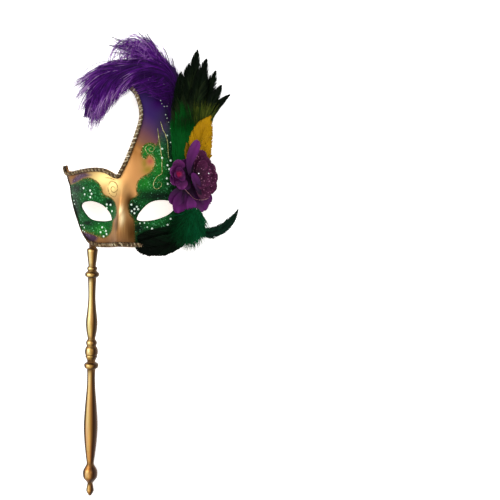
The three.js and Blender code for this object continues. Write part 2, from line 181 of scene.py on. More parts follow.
outlineRing = np.concatenate([runPath(name)[:-1] for name in shellForm["runs"]])
shellReach = (outlineRing.min(0), outlineRing.max(0))
lowTemple = faceHeight(outlineRing[:, 0], outlineRing[:, 1]) < shellForm["lowestEdge"]
templeEnd = shellForm["templeEnd"]  # the temples end just over the table
outlineRing[lowTemple, 0] = np.clip(outlineRing[lowTemple, 0], -templeEnd, templeEnd)
rightEye, leftEye = (curveThrough([*shellForm[k], shellForm[k][0]])[:-1] for k in ("rightEye", "leftEye"))
shellLow = np.array(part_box("mask_shell")[0]) * 1000
rowShift = np.array([shellLow[0] - shellReach[0][0], shellLow[1] - shellReach[0][1], 0])


def toRow(points):
    return (np.asarray(points, float) + rowShift) * 0.001


# Feathers and flower stand in a nest that lies flat on the right temple
nestPlan = (58, 34)
nestOrigin = onFace(nestPlan)
nestTurn = math.asin(nestPlan[0] / shellForm["templeRadius"])
nestUp = np.array([[math.sin(nestTurn), 0, math.cos(nestTurn)]])  # straight off the temple


def fromNest(points):
    points = np.asarray(points, float)
    c, s = math.cos(nestTurn), math.sin(nestTurn)
    x, y, z = points[..., 0], points[..., 1], points[..., 2]
    return np.stack([x * c + z * s, y, z * c - x * s], -1) + nestOrigin


print("mask frame starts at", rowShift.round(2))


# Shared making of pieces

def colour(hexValue):
    parts = [int(hexValue[i:i + 2], 16) / 255 for i in (0, 2, 4)]
    return [c / 12.92 if c <= 0.04045 else ((c + 0.055) / 1.055) ** 2.4 for c in parts] + [1.0]


def addNode(tree, kind, inputs=None, stops=(), **settings):
    # inputs are values or outputs of other nodes, stops are the colours of a ramp; gives the node's outputs
    node = tree.nodes.new("ShaderNode" + kind)
    for key, value in settings.items():
        setattr(node, key, value)
    if stops:
        elements = node.color_ramp.elements
        while len(elements) < len(stops):
            elements.new(0.5)
        for element, (at, hexValue) in zip(elements, stops):
            element.position = at
            element.color = colour(hexValue)
    for key, value in (inputs or {}).items():
        if isinstance(value, bpy.types.NodeSocket):
            tree.links.new(value, node.inputs[key])
        else:
            node.inputs[key].default_value = value
    return node.outputs


def newMaterial(name):
    material = bpy.data.materials.new(name)
    material.use_nodes = True
    tree = material.node_tree
    tree.nodes.clear()
    return material, tree


def addPiece(name, mesh, materials, replaced=()):
    for material in materials:
        mesh.materials.append(material)
    mesh.polygons.foreach_set("use_smooth", [True] * len(mesh.polygons))
    piece = bpy.data.objects.new(name, mesh)
    bpy.context.scene.collection.objects.link(piece)
    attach(piece, "root")
    if replaced:
        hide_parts(*replaced)
    print("made", name, len(mesh.polygons), "faces")
    return piece


def addMark(mesh, name, values):
    mark = mesh.attributes.new(name, "FLOAT", "POINT")
    mark.data.foreach_set("value", np.asarray(values, np.float32).ravel())


def bmeshToMesh(bm, name):
    for vert in bm.verts:
        vert.co = toRow(vert.co)
    mesh = bpy.data.meshes.new(name)
    bm.to_mesh(mesh)
    bm.free()
    return mesh


def strandMesh(name, groups, sides=3):
    # closed strands; a group is paths (n, k, 3), widths (n, k), the way they face, flatness and shade (n, k)
    verts, faces, shades, offset = [], [], [], 0
    angles = np.arange(sides) * 2 * math.pi / sides + math.pi / 2
    for paths, widths, facing, flatness, shade in groups:
        count, steps = paths.shape[:2]
        forward = unit(np.gradient(paths, axis=1))
        facing = np.broadcast_to(facing[:, None] if facing.ndim == 2 else facing, paths.shape)
        side = unit(np.cross(forward, facing))
        over = np.cross(side, forward)
        half = (widths / 2)[:, :, None, None]
        ring = paths[:, :, None] + side[:, :, None] * np.cos(angles)[:, None] * half \
            + over[:, :, None] * np.sin(angles)[:, None] * half * flatness
        verts.append(ring.reshape(-1, 3))
        shades.append(np.repeat(shade.reshape(-1), sides))
        index = np.arange(count * steps * sides).reshape(count, steps, sides) + offset
        after = np.roll(index, -1, 2)
        quads = np.stack([index[:, :-1], index[:, 1:], after[:, 1:], after[:, :-1]], -1).reshape(-1, 4)
        faces += quads.tolist() + index[:, 0].tolist() + index[:, -1, ::-1].tolist()
        offset += count * steps * sides
    mesh = bpy.data.meshes.new(name)
    mesh.from_pydata(toRow(np.concatenate(verts)).tolist(), [], faces)
    addMark(mesh, "shade", np.concatenate(shades))
    return mesh


# Painted papier-mache shell

shellPaint = {
    "leftLeaf": [(-86, 27), (-74.7, 27.3), (-66.5, 28), (-57.1, 30.9), (-50.4, 33), (-41.2, 33.3),
                 (-32.1, 29.6), (-26.7, 23.8), (-24.8, 18.1), (-21.8, 15), (-15.5, 12.7), (-8.9, 7.4),
                 (-5.4, 0), (-5.8, -6.1), (-10.4, -10.9), (-11.5, -15.7), (-12, -20.1), (-16.2, -25),
                 (-22.1, -28.2), (-29.1, -28), (-35.4, -25.8), (-42.7, -24), (-50, -22.2), (-57.4, -19.6),
                 (-66, -17), (-86, 8)],
    "rightLeaf": [(21.5, 53.7), (19.2, 55.7), (18.3, 59.6), (19.1, 64.9), (21.5, 68.2), (25.2, 69.6),
                  (28.9, 69.2), (32.1, 66.9), (33.8, 69.6), (35, 75), (36, 82), (38.5, 89), (44, 93),
                  (56, 88), (80, 52), (84, 30), (84, -20), (60, -44), (13.4, -44), (13.2, -37), (13, -23),
                  (12.2, -10.4), (9, -4.2), (7.4, 4.2), (8.5, 10.5), (12.5, 13.2), (15.2, 16),
                  (14.6, 19.5), (14.2, 24.2), (16, 30.1), (20.6, 34.6), (27, 38.4), (31, 44.6),
                  (32, 49.2), (31, 53), (28.6, 56.6), (25.7, 57.9), (23.6, 56.6), (23, 54.4)],
    "violet": [[(-70, 28.5), (-68.5, 33), (-63, 37), (-55, 40), (-48, 40.5), (-38.9, 37), (-46, 34.3),
                (-52.3, 32.6), (-58.5, 28.3), (-66, 26.5)],
               [(-54, -23), (-45, -23), (-39, -24), (-33.5, -26), (-31, -29.5), (-35.5, -34), (-44, -36),
                (-54, -30)]],
    "hornDye": {"from": 56, "reach": 46, "middle": 20, "aside": (-14, 16), "lean": 0.6},
    "clouds": {  # soft patches of colour, some of them painted light and shade: x, y, half width, half height
        # deep: painted shade, darkening the green round the eyes, beside the nose, under the feathers and along
        # the left edge
        "deep": [(36, 14.5, 27, 6.5), (11, 1, 8, 10), (28, -31, 32, 11), (26, -26, 20, 8), (16, -19, 7, 7),
                 (-64, 0, 9, 24), (-62, 23, 12, 6), (-44, -13.5, 9, 3), (-16, 8, 8, 5), (56, 20, 13, 40),
                 (50, 66, 10, 26)],
        # pale: painted highlight on the forehead
        "pale": [(-26, 33, 17, 9), (-12, 24, 9, 10)],
        # rosy: brown at the base of the nose, and painted shade on the left slope of the nose
        "rosy": [(-8, -35, 22, 12), (-4, -13, 4.8, 11)],
        # slope: painted shade on the left slope of the nose
        "slope": [(-2.2, -15, 2.7, 9)],
        # shine: painted highlight down the ridge of the nose
        "shine": [(1, -0.5, 1.8, 5), (2.5, -8.5, 2, 6.5)],
        # umber: painted shade on the right side of the nose, and darker brown patches on the left temple
        "umber": [(7.5, 9, 3.8, 9), (10.5, -24, 4.5, 15), (-77, 49, 4, 9), (-75, 31, 6, 9)],
        "amber": [(12, 66, 6, 14), (19, 60, 7, 9)],
        "olive": [(25, 42, 6, 5), (21.5, 49, 3, 6)],
        "berry": [(27, 51, 3.6, 3.6)],
        # night: painted shadow of the plume and fan on the top of the horn, and painted shade on the left peak
        "night": [(44, 94, 8, 22), (-75, 49, 4, 6)],
        "dusk": [(38, 87, 8, 13)],
        "plum": [(31, 113, 6.5, 7.5)],
        "nose": [(0, -25, 13, 16)],
        "fresh": [(24, 63, 8, 8), (35, 46, 8, 14), (22, 28, 8, 8), (-27, -21, 9, 5)],
    },
}


def clouds(plan, rows):
    return np.max([np.exp(-((plan[:, 0] - x) / w) ** 2 - ((plan[:, 1] - y) / h) ** 2)
                   for x, y, w, h in rows], 0)


def paintMarks(plan):
    x, y = plan[:, 0], plan[:, 1]
    leaf = np.maximum(*(signedGap(plan, curveThrough([*shellPaint[k], shellPaint[k][0]], 5)[:-1])
                        for k in ("leftLeaf", "rightLeaf")))
    violet = np.maximum(*(signedGap(plan, np.array(ring, float)) for ring in shellPaint["violet"]))
    eyes = np.minimum(nearestOn(plan, rightEye)[1], nearestOn(plan, leftEye)[1])
    dye = shellPaint["hornDye"]
    horn = (y + np.clip(x - dye["middle"], *dye["aside"]) * dye["lean"] - dye["from"]) / dye["reach"]
    return {"leaf": np.clip(leaf, -10, 10), "violet": np.clip(violet, -12, 12),
            "hornDye": np.clip(horn, 0, 1), "rim": np.clip(eyes, 0, 10),
            **{k: clouds(plan, rows) for k, rows in shellPaint["clouds"].items()}}


def shellBlank():
    bm = bmesh.new()
    low, high = outlineRing.min(0) - 2, outlineRing.max(0) + 2
    size = high - low
    cells = np.round(size / shellForm["cell"]).astype(int)
    fitted = Matrix.Translation((*((low + high) / 2), 0)) @ Matrix.Diagonal((*size, 1, 1))
    bmesh.ops.create_grid(bm, x_segments=int(cells[0]), y_segments=int(cells[1]), size=0.5, matrix=fitted)
    centres = np.array([face.calc_center_median()[:2] for face in bm.faces])
    keep = insideOf(centres, outlineRing) & ~insideOf(centres, rightEye) & ~insideOf(centres, leftEye)
    bmesh.ops.delete(bm, geom=[f for f, kept in zip(bm.faces[:], keep) if not kept], context="FACES")
    for _ in range(2):  # single teeth at the edge would fold when they are pulled to the outline
        teeth = [f for f in bm.faces if sum(edge.is_boundary for edge in f.edges) > 2]
        bmesh.ops.delete(bm, geom=teeth, context="FACES")
    edge = [v for v in bm.verts if v.is_boundary]
    plan = np.array([v.co[:2] for v in edge])
    pulled = [nearestOn(plan, ring) for ring in (outlineRing, rightEye, leftEye)]
    closest = np.argmin([gap for _, gap in pulled], 0)
    for i, vert in enumerate(edge):
        vert.co.xy = pulled[closest[i]][0][i]
    inner = [v for v in bm.verts if not v.is_boundary]
    for _ in range(3):
        bmesh.ops.smooth_vert(bm, verts=inner, factor=0.5, use_axis_x=True, use_axis_y=True)
    bmesh.ops.remove_doubles(bm, verts=bm.verts[:], dist=0.12)
    return bm


def buildShell(materials):
    bm = shellBlank()
    plan = np.array([v.co[:2] for v in bm.verts])
    marks = paintMarks(plan)
    heights = np.maximum(faceHeight(plan[:, 0], plan[:, 1]), shellForm["lowestEdge"])
    for vert, height in zip(bm.verts, heights):
        vert.co.z = height
    mesh = bmeshToMesh(bm, "mask_shell_painted")
    for key, values in marks.items():
        addMark(mesh, key, values)
    piece = addPiece("painted_shell", mesh, materials, ["mask_shell"])
    wall = piece.modifiers.new("wall", "SOLIDIFY")
    wall.thickness = shellForm["wall"] * 0.001
    wall.offset = -1
    wall.material_offset = 1
    return piece


def shellPaintMaterial():
    # satin metallic paint brushed over papier-mache, with loose glitter set in green and violet varnish, and
    # painted highlights and shade laid into the colour
    material, tree = newMaterial("satin_gold_and_glitter_paint")
    place = addNode(tree, "TexCoord")["Object"]
    names = ("leaf", "violet", "hornDye", "rim", *shellPaint["clouds"])
    mark = {k: addNode(tree, "Attribute", attribute_name=k)["Fac"] for k in names}
    # cloudy brush work about 40 mm across, and flakes of 0.9 mm: real ones of 0.4 mm are too fine to show
    cloud = addNode(tree, "TexNoise", {"Vector": place, "Scale": 25, "Detail": 2})["Fac"]
    flake = addNode(tree, "TexVoronoi", {"Vector": place, "Scale": 1100})["Color"]
    chance = addNode(tree, "SeparateColor", {"Color": flake})
    # long brush strokes down the nose, about 2 mm wide
    stroke = addNode(tree, "Mapping", {"Vector": place, "Scale": (430, 26, 120)})[0]
    stroke = addNode(tree, "TexNoise", {"Vector": stroke, "Scale": 1, "Detail": 1})["Fac"]
    paints = {  # what the paint follows, and its colours
        "gold": (cloud, [(0.3, "ac7744"), (0.5, "b6824d"), (0.7, "c28f57")]),
        "dye": (mark["hornDye"], [(0, "b6824d"), (0.14, "8e6032"), (0.32, "785040"), (0.5, "6c4648"),
                                  (0.66, "5a3c52"), (0.84, "4a305e"), (1, "3a2560")]),
        "brushed": (stroke, [(0.36, "6e4820"), (0.5, "9c6e3c"), (0.64, "cc9c5c")]),
        "green": (chance["Red"], [(0, "02330f"), (0.45, "054a18"), (0.8, "0a5c22"), (0.94, "18682f"),
                                  (1, "62a878")]),
        "dark": (chance["Red"], [(0, "010c05"), (0.7, "02150a"), (0.95, "062612"), (1, "42785a")]),
        "fresh": (chance["Red"], [(0, "0c5c14"), (0.7, "18701e"), (0.95, "227a28"), (1, "74b67a")]),
        "violet": (chance["Green"], [(0, "281c44"), (0.7, "382654"), (0.95, "503c6c"), (1, "a094b8")]),
        "line": (chance["Green"], [(0, "2c2a0c"), (0.5, "5c5022"), (0.85, "88743a"), (1, "bca872")]),
    }
    paint = {k: addNode(tree, "ValToRGB", {"Fac": source}, stops)["Color"]
             for k, (source, stops) in paints.items()}
    spans = {  # the mark that a mask follows, where it starts and is full, how much that is, kind of step
        "dyed": ("hornDye", 0, 0.12, 1, "LINEAR"), "leaf": ("leaf", -0.5, 0.5, 1, "SMOOTHSTEP"),
        "edging": ("leaf", -1.7, -0.6, 1, "SMOOTHSTEP"), "border": ("leaf", 4.5, 0.5, 1, "SMOOTHSTEP"),
        "veil": ("violet", -2.6, 3.0, 0.88, "SMOOTHSTEP"),
    }
    mask = {}
    for key, (name, start, end, full, step) in spans.items():
        reach = {"Value": mark[name], "From Min": start, "From Max": end, "To Max": full}
        mask[key] = addNode(tree, "MapRange", reach, interpolation_type=step)[0]
    nose = addNode(tree, "Math", {0: mark["nose"], 1: 0.7}, operation="MULTIPLY")[0]
    # stray gold flakes in the last few millimetres of the green
    stray = addNode(tree, "Math", {0: chance["Blue"], 1: 0.76}, operation="GREATER_THAN")[0]
    stray = addNode(tree, "Math", {0: stray, 1: mask["border"]}, operation="MULTIPLY")[0]
    green = paint["green"]
    # the green takes fresh patches, stray gold flakes, and near-black painted shade where the deep clouds lie
    for where, over in ((mark["fresh"], paint["fresh"]), (stray, colour("5c6028")),
                        (mark["deep"], paint["dark"])):
        green = addNode(tree, "Mix", {0: where, 6: green, 7: over}, data_type="RGBA")[2]
    # the glitter line beside the nose is darkened too: painted shade
    brown = colour("4a3212")
    line = addNode(tree, "Mix", {0: mark["umber"], 6: paint["line"], 7: brown}, data_type="RGBA")[2]
    # tints, among them painted highlights (pale, shine) and painted shade (slope, umber, night)
    tintsAndPaintedLight = {"olive": "86702a", "berry": "9a5040", "night": "1c1c28", "plum": "380a5a", "pale": "ecd48c",
              "umber": "5c3a16", "slope": "66482a", "shine": "fee6b2"}
    layers = [  # from the gold ground up: where the layer lies, and its colour
        (mask["dyed"], paint["dye"]), (nose, paint["brushed"]), (mark["rosy"], colour("86603e")),
        (mark["amber"], colour("8a5a2a")), (mask["dyed"], paint["dye"]),
        *((mark[k], colour(hexValue)) for k, hexValue in tintsAndPaintedLight.items()),
        (mask["veil"], paint["violet"]),
        (mask["edging"], line),  # gold-olive glitter line round the green
        (mask["leaf"], green),
        (mark["dusk"], colour("382c4a")),  # the green fades into the dye of the horn
    ]
    painted = paint["gold"]
    for where, over in layers:
        painted = addNode(tree, "Mix", {0: where, 6: painted, 7: over}, data_type="RGBA")[2]
    # darker towards the rims of the eye holes
    rim = addNode(tree, "MapRange", {"Value": mark["rim"], "From Max": 1.8, "To Min": 0.5})[0]
    shade = addNode(tree, "CombineColor", {k: rim for k in ("Red", "Green", "Blue")})[0]
    painted = addNode(tree, "Mix", {0: 1.0, 6: painted, 7: shade}, data_type="RGBA", blend_type="MULTIPLY")[2]
    pulp = addNode(tree, "TexNoise", {"Vector": place, "Scale": 260, "Detail": 2})["Fac"]
    grain = addNode(tree, "Bump", {"Height": pulp, "Strength": 0.06, "Distance": 0.0004})[0]
    raised = addNode(tree, "Math", {0: chance["Blue"], 1: mask["leaf"]}, operation="MULTIPLY")[0]
    bump = addNode(tree, "Bump", {"Height": raised, "Strength": 0.4, "Distance": 0.0005, "Normal": grain})[0]
    rough = addNode(tree, "MapRange", {"Value": mask["leaf"], "To Min": 0.5, "To Max": 0.55})[0]
    metal = addNode(tree, "MapRange", {"Value": mask["leaf"], "To Min": 0.82, "To Max": 0.1})[0]
    finish = addNode(tree, "BsdfPrincipled", {"Base Color": painted, "Roughness": rough, "Metallic": metal,
                                              "Normal": bump, "Specular IOR Level": 0.08})
    addNode(tree, "OutputMaterial", {"Surface": finish[0]})
    return material


def liningMaterial():
    # bare papier-mache inside the mask, brushed once with thin brown size: dull, with soft blotches
    material, tree = newMaterial("sized_papier_mache")
    place = addNode(tree, "TexCoord")["Object"]
    pulp = addNode(tree, "TexNoise", {"Vector": place, "Scale": 180, "Detail": 5})["Fac"]
    tone = addNode(tree, "ValToRGB", {"Fac": pulp}, [(0.3, "8a6a45"), (0.55, "a5835a"), (0.75, "bd9d72")])[0]
    bump = addNode(tree, "Bump", {"Height": pulp, "Strength": 0.35, "Distance": 0.0006})[0]
    finish = addNode(tree, "BsdfPrincipled", {"Base Color": tone, "Normal": bump, "Roughness": 0.85})
    addNode(tree, "OutputMaterial", {"Surface": finish[0]})
    return material


buildShell([shellPaintMaterial(), liningMaterial()])


# Gimp braid: a pale and a dark ply of metallic yarn twisted together, glued along the edge over a narrow tape

braidForm = {
    "upper": (("brow", "hornInside"), 0.0, 0.985), "lower": (("rightEdge", "bottom", "leftEdge"), 0.02, 1.0),
    "peak": [(-78, 47.4), (-77, 45)], "inset": {"bottom": 3.0}, "usualInset": 2.3,
    "lowTemple": 6, "templeReach": 73.4, "samples": 600, "knots": 5, "step": 0.45,
    "plies": 2, "plyReach": 1.0, "plyRise": 0.65, "period": 5.2,
    "yarns": 3, "yarn": 1.05, "yarnReach": 0.46, "yarnPeriod": 2.2, "lift": 1.75,
    "tape": 3.4, "tapeLift": 0.7,
    "tones": (0.6, 0.34), "fleck": 0.13, "fleckRun": 3, "seed": 71,
    "slim": (-40, -52, 0.35),  # pulled thin round the left edge: from x, to x, share that is left
    "upperBreadth": 0.28, "bottomBreadth": 0.4, "broadY": (-30, -34), "broadX": (-44, -34),
    "glint": (0.14, 0.1),
    "dull": (58, 46, 0.2),  # darker along the brow: from y, to y, how much
}


def braidPath(names, start, end):
    form, inside = braidForm, []
    for name in names:
        run = evenly(runPath(name), int(pathLength(runPath(name)) / 3))
        along = unit(np.gradient(run, axis=0))
        inset = form["inset"].get(name, form["usualInset"])
        inside.append(run + np.stack([along[:, 1], -along[:, 0]], 1) * inset)
    plan = np.concatenate([form["peak"], *inside] if names[0] == "brow" else inside)
    low = faceHeight(plan[:, 0], plan[:, 1]) < form["lowTemple"]
    plan[low, 0] = np.clip(plan[low, 0], -form["templeReach"], form["templeReach"])
    samples = form["samples"]
    solid = evenly(onFace(plan), samples)[int(start * samples):int(end * samples)]
    smooth = curveThrough(evenly(solid, int(pathLength(solid) / form["knots"])), 6)
    solid = evenly(smooth, int(pathLength(solid) / form["step"]))
    return onFace(solid[:, :2]), faceNormal(solid[:, 0], solid[:, 1])


def buildBraid(material):
    groups, form = [], braidForm
    rng = np.random.default_rng(form["seed"])
    for names, start, end in (form["upper"], form["lower"]):
        path, normal = braidPath(names, start, end)
        side = unit(np.cross(unit(np.gradient(path, axis=0)), normal))
        run = np.arange(len(path)) * form["step"]
        inner, outer, least = form["slim"]
        slim = 1 - (1 - least) * ease(inner, outer, path[:, 0]) * (names[-1] == "leftEdge")
        slim = slim * (1 + form["upperBreadth"] * (names[0] == "brow"))
        broad = form["bottomBreadth"] * ease(*form["broadY"], path[:, 1]) * ease(*form["broadX"], path[:, 0])
        slim = slim * (1 + broad)
        low = np.minimum(slim, 1)
        dull = form["dull"][2] * ease(*form["dull"][:2], path[:, 1])
        thin = 0.5 * np.maximum(1 - slim, 0)
        for k in range(form["plies"]):
            turn = run / form["period"] * 2 * math.pi + k * 2 * math.pi / form["plies"]
            ply = path + side * (np.sin(turn) * form["plyReach"] * slim)[:, None] \
                + normal * (low * (form["lift"] + form["plyRise"] * np.cos(turn)))[:, None]
            for j in range(form["yarns"]):
                twist = run / form["yarnPeriod"] * 2 * math.pi + j * 2 * math.pi / form["yarns"]
                off = side * np.sin(twist)[:, None] + normal * np.cos(twist)[:, None]
                yarn = ply + off * (form["yarnReach"] * low)[:, None]
                # frayed and folded yarn changes its shade every few steps
                flecks = rng.normal(0, form["fleck"], len(path) // form["fleckRun"] + 1)
                fleck = np.repeat(flecks, form["fleckRun"])[:len(path)]
                onPly, onYarn = form["glint"]  # painted highlight: paler on top of each ply and yarn
                shade = form["tones"][k] + onPly * np.cos(turn) + onYarn * np.cos(twist) - thin - dull + fleck
                groups.append((yarn[None], form["yarn"] * slim[None], normal[None], 1.0, shade[None]))
        # the tape is dark brown, and also stands for the shade in the gaps between the yarns: painted shade
        tape = path + normal * (form["tapeLift"] * low)[:, None]
        groups.append((tape[None], form["tape"] * slim[None], normal[None], 0.4,
                       np.full((1, len(path)), 0.05)))
    mesh = strandMesh("gimp_braid_yarns", groups, 5)
    return addPiece("gimp_braid", mesh, [material], ["upper_braid", "lower_braid"])


def braidMaterial():
    # metallised yarn, plied: pale gold on one ply, dark bronze on the other, dark brown in the gaps, which is
    # partly painted shade
    material, tree = newMaterial("metallic_gold_gimp")
    place = addNode(tree, "TexCoord")["Object"]
    shade = addNode(tree, "Attribute", attribute_name="shade")["Fac"]
    ply = addNode(tree, "TexNoise", {"Vector": place, "Scale": 900, "Detail": 1})
    stops = [(0, "1a1006"), (0.25, "4a3212"), (0.5, "6e5634"), (0.75, "b8a684"), (1, "efe6d0")]
    tone = addNode(tree, "ValToRGB", {"Fac": shade}, stops)[0]
    tone = addNode(tree, "Mix", {0: 0.3, 6: tone, 7: ply["Color"]}, data_type="RGBA", blend_type="OVERLAY")[2]
    bump = addNode(tree, "Bump", {"Height": ply["Fac"], "Strength": 0.4, "Distance": 0.0003})[0]
    finish = addNode(tree, "BsdfPrincipled", {"Base Color": tone, "Normal": bump, "Metallic": 0.4,
                                              "Roughness": 0.45})
    addNode(tree, "OutputMaterial", {"Surface": finish[0]})
    return material


buildBraid(braidMaterial())


# Turned stick

stickForm = {
    "top": (-41.4, -40.5, 28.6), "ballCentre": (-52, -286, 8), "roll": -0.5, "around": 56,
    "tongue": (9, 16.5, 3),
    "turning": [  # way down the stick, radius
        (0, 5.8), (9.5, 4.8), (19, 3.7), (20, 4.6), (22, 5.2), (24.2, 4.5), (26.6, 7), (29.6, 7),
        (31.2, 5), (32.8, 4.2), (52.5, 3.6), (67, 4.6), (79.5, 5.9), (89.5, 5.2), (97.5, 3.7), (100, 5),
        (102.5, 5.6), (105.5, 4.7), (108, 6.1), (112, 6.7), (114.4, 6.4), (115.6, 5.7), (116.8, 6.1),
        (118.4, 5.4), (122.5, 4), (124.5, 6.6), (126.5, 7.4), (129.5, 6.4), (131.5, 4.2), (149.5, 4.2),
        (171, 5.9), (193, 7.2), (211.5, 6.2), (227, 4.5), (234.5, 3.8), (238, 5.2), (242, 7.4),
        (246.5, 8), (251, 7), (255.5, 3.4), (257.5, 3), (262, 3.8), (265.5, 4), (270, 1.6)],
    "least": 1.2, "paintCoat": 0.4, "coatEnd": (240, 225),
    # painted light and shade: palest where the surface faces the first direction, darker round the sides, and
    # darker still along the left edge
    "litFacing": (-0.24, 0, 0.97), "shadedFacing": (-0.95, 0, 0.31), "left": 0.45, "leftFrom": (0.64, 0.82),
    "endBrowning": [(60, 185, 0.5), (205, 230, 0.25), (234, 244, -0.2)],  # browner towards the end
}


def buildStick(material):
    form = stickForm
    rows = curveThrough(form["turning"], 4)
    coat = form["paintCoat"] * ease(*form["coatEnd"], rows[:, 0])
    rows[:, 1] = np.maximum(rows[:, 1], form["least"]) + coat
    last = form["turning"][-1][0]
    line = [(0, 0), (form["turning"][0][1] - 0.6, 0), *((r, -at) for at, r in rows[1:]),
            (0.9, -last - 0.7), (0, -last - 0.9)]
    bm = bmesh.new()
    verts = [bm.verts.new((r, y, 0)) for r, y in line]
    edges = [bm.edges.new(pair) for pair in zip(verts, verts[1:])]
    bmesh.ops.spin(bm, geom=verts + edges, cent=(0, 0, 0), axis=(0, 1, 0), angle=2 * math.pi,
                   steps=form["around"], use_merge=True)
    bmesh.ops.remove_doubles(bm, verts=bm.verts[:], dist=0.001)
    bmesh.ops.recalc_face_normals(bm, faces=bm.faces[:])
    width, length, depth = form["tongue"]
    tongue = bmesh.ops.create_cube(bm, size=1, matrix=Matrix.Translation((0, length / 2 - 1.5, 1 - depth / 2))
                                   @ Matrix.Diagonal((width, length, depth, 1)))["verts"]
    edges = list({edge for vert in tongue for edge in vert.link_edges})
    bmesh.ops.bevel(bm, geom=edges, offset=0.5, affect="EDGES", segments=2, profile=0.5, material=-1)
    top, ball = Vector(form["top"]), Vector(form["ballCentre"])
    upright = Vector((0, 1, 0))
    turned = upright.rotation_difference((top - ball).normalized()) @ Quaternion(upright, form["roll"])
    # the groove mark is how far the profile lies under its own smoothed line
    ats = np.array([-v.co.y for v in bm.verts])
    radii = np.array([math.hypot(v.co.x, v.co.z) for v in bm.verts])
    fine = np.arange(0, last, 0.5)
    profile = np.interp(fine, rows[:, 0], rows[:, 1])
    smooth = np.convolve(np.pad(profile, 12, mode="edge"), np.ones(25) / 25, mode="valid")
    groove = np.where(ats < -0.3, 0.5, np.interp(ats, fine, smooth) - radii)
    bmesh.ops.transform(bm, verts=bm.verts[:], matrix=Matrix.Translation(top) @ turned.to_matrix().to_4x4())
    bm.normal_update()
    sides = np.array([vert.normal for vert in bm.verts])
    # painted light and shade from the way each face of the stick turns
    paintedLight = sides @ form["litFacing"] - form["left"] * ease(*form["leftFrom"], sides @ form["shadedFacing"])
    mesh = bmeshToMesh(bm, "turned_stick_mesh")
    addMark(mesh, "groove", np.clip(groove, -2, 2))
    addMark(mesh, "paintedLight", np.clip(paintedLight, 0, 1))
    addMark(mesh, "endBrowning", sum(share * ease(start, end, ats) for start, end, share in form["endBrowning"]))
    return addPiece("turned_stick", mesh, [material], ["stick"])


def stickMaterial():
    # turned hardwood under bronze-gold paint: satin, with darker wash left in the grooves, and painted light
    # and shade across the turning
    material, tree = newMaterial("gold_painted_turned_wood")
    place = addNode(tree, "TexCoord")["Object"]
    mark = {k: addNode(tree, "Attribute", attribute_name=k)["Fac"] for k in ("groove", "paintedLight", "endBrowning")}
    brush = addNode(tree, "Mapping", {"Vector": place, "Scale": (420, 40, 420)})[0]
    streak = addNode(tree, "TexNoise", {"Vector": brush, "Scale": 1.0, "Detail": 3})
    stops = [(0, "5a4020"), (0.12, "382410"), (0.55, "38240c"), (0.7, "6e4c1e"), (0.86, "ac8640"),
             (0.95, "dec27a"), (1, "fcecae")]
    # the ramp turns the painted light into colour: dark on the shaded sides, pale gold on the lit top
    tone = addNode(tree, "ValToRGB", {"Fac": mark["paintedLight"]}, stops)[0]
    depth = addNode(tree, "MapRange", {"Value": mark["groove"], "From Min": 0.1, "From Max": 1.2})[0]
    for where, over, blend in ((mark["endBrowning"], colour("d89a60"), "MULTIPLY"),
                               (0.25, streak["Color"], "OVERLAY"), (depth, colour("5a3b16"), "MIX")):
        tone = addNode(tree, "Mix", {0: where, 6: tone, 7: over}, data_type="RGBA", blend_type=blend)[2]
    rough = addNode(tree, "MapRange", {"Value": streak["Fac"], "To Min": 0.26, "To Max": 0.42})[0]
    bump = addNode(tree, "Bump", {"Height": streak["Fac"], "Strength": 0.08, "Distance": 0.0003})[0]
    finish = addNode(tree, "BsdfPrincipled", {"Base Color": tone, "Roughness": rough, "Normal": bump,
                                              "Metallic": 0.45, "Specular IOR Level": 0.25})
    addNode(tree, "OutputMaterial", {"Surface": finish[0]})
    return material


buildStick(stickMaterial())


# Feather dyes: the shade mark runs from 0, deepest, to 1, palest

def featherMaterial(name, stops, roughness, gloss):
    # dyed keratin barbs: colour from the shade mark, with uneven dye about 8 mm across
    material, tree = newMaterial(name)
    place = addNode(tree, "TexCoord")["Object"]
    shade = addNode(tree, "Attribute", attribute_name="shade")["Fac"]
    uneven = addNode(tree, "TexNoise", {"Vector": place, "Scale": 120, "Detail": 2})["Fac"]
    uneven = addNode(tree, "Math", {0: uneven, 1: 0.3, 2: -0.15}, operation="MULTIPLY_ADD")[0]
    shade = addNode(tree, "Math", {0: shade, 1: uneven}, operation="ADD")[0]
    tone = addNode(tree, "ValToRGB", {"Fac": shade}, stops)[0]
    finish = addNode(tree, "BsdfPrincipled", {"Base Color": tone, "Roughness": roughness,
                                              "Specular IOR Level": gloss})
    addNode(tree, "OutputMaterial", {"Surface": finish[0]})
    return material


# Ostrich plume

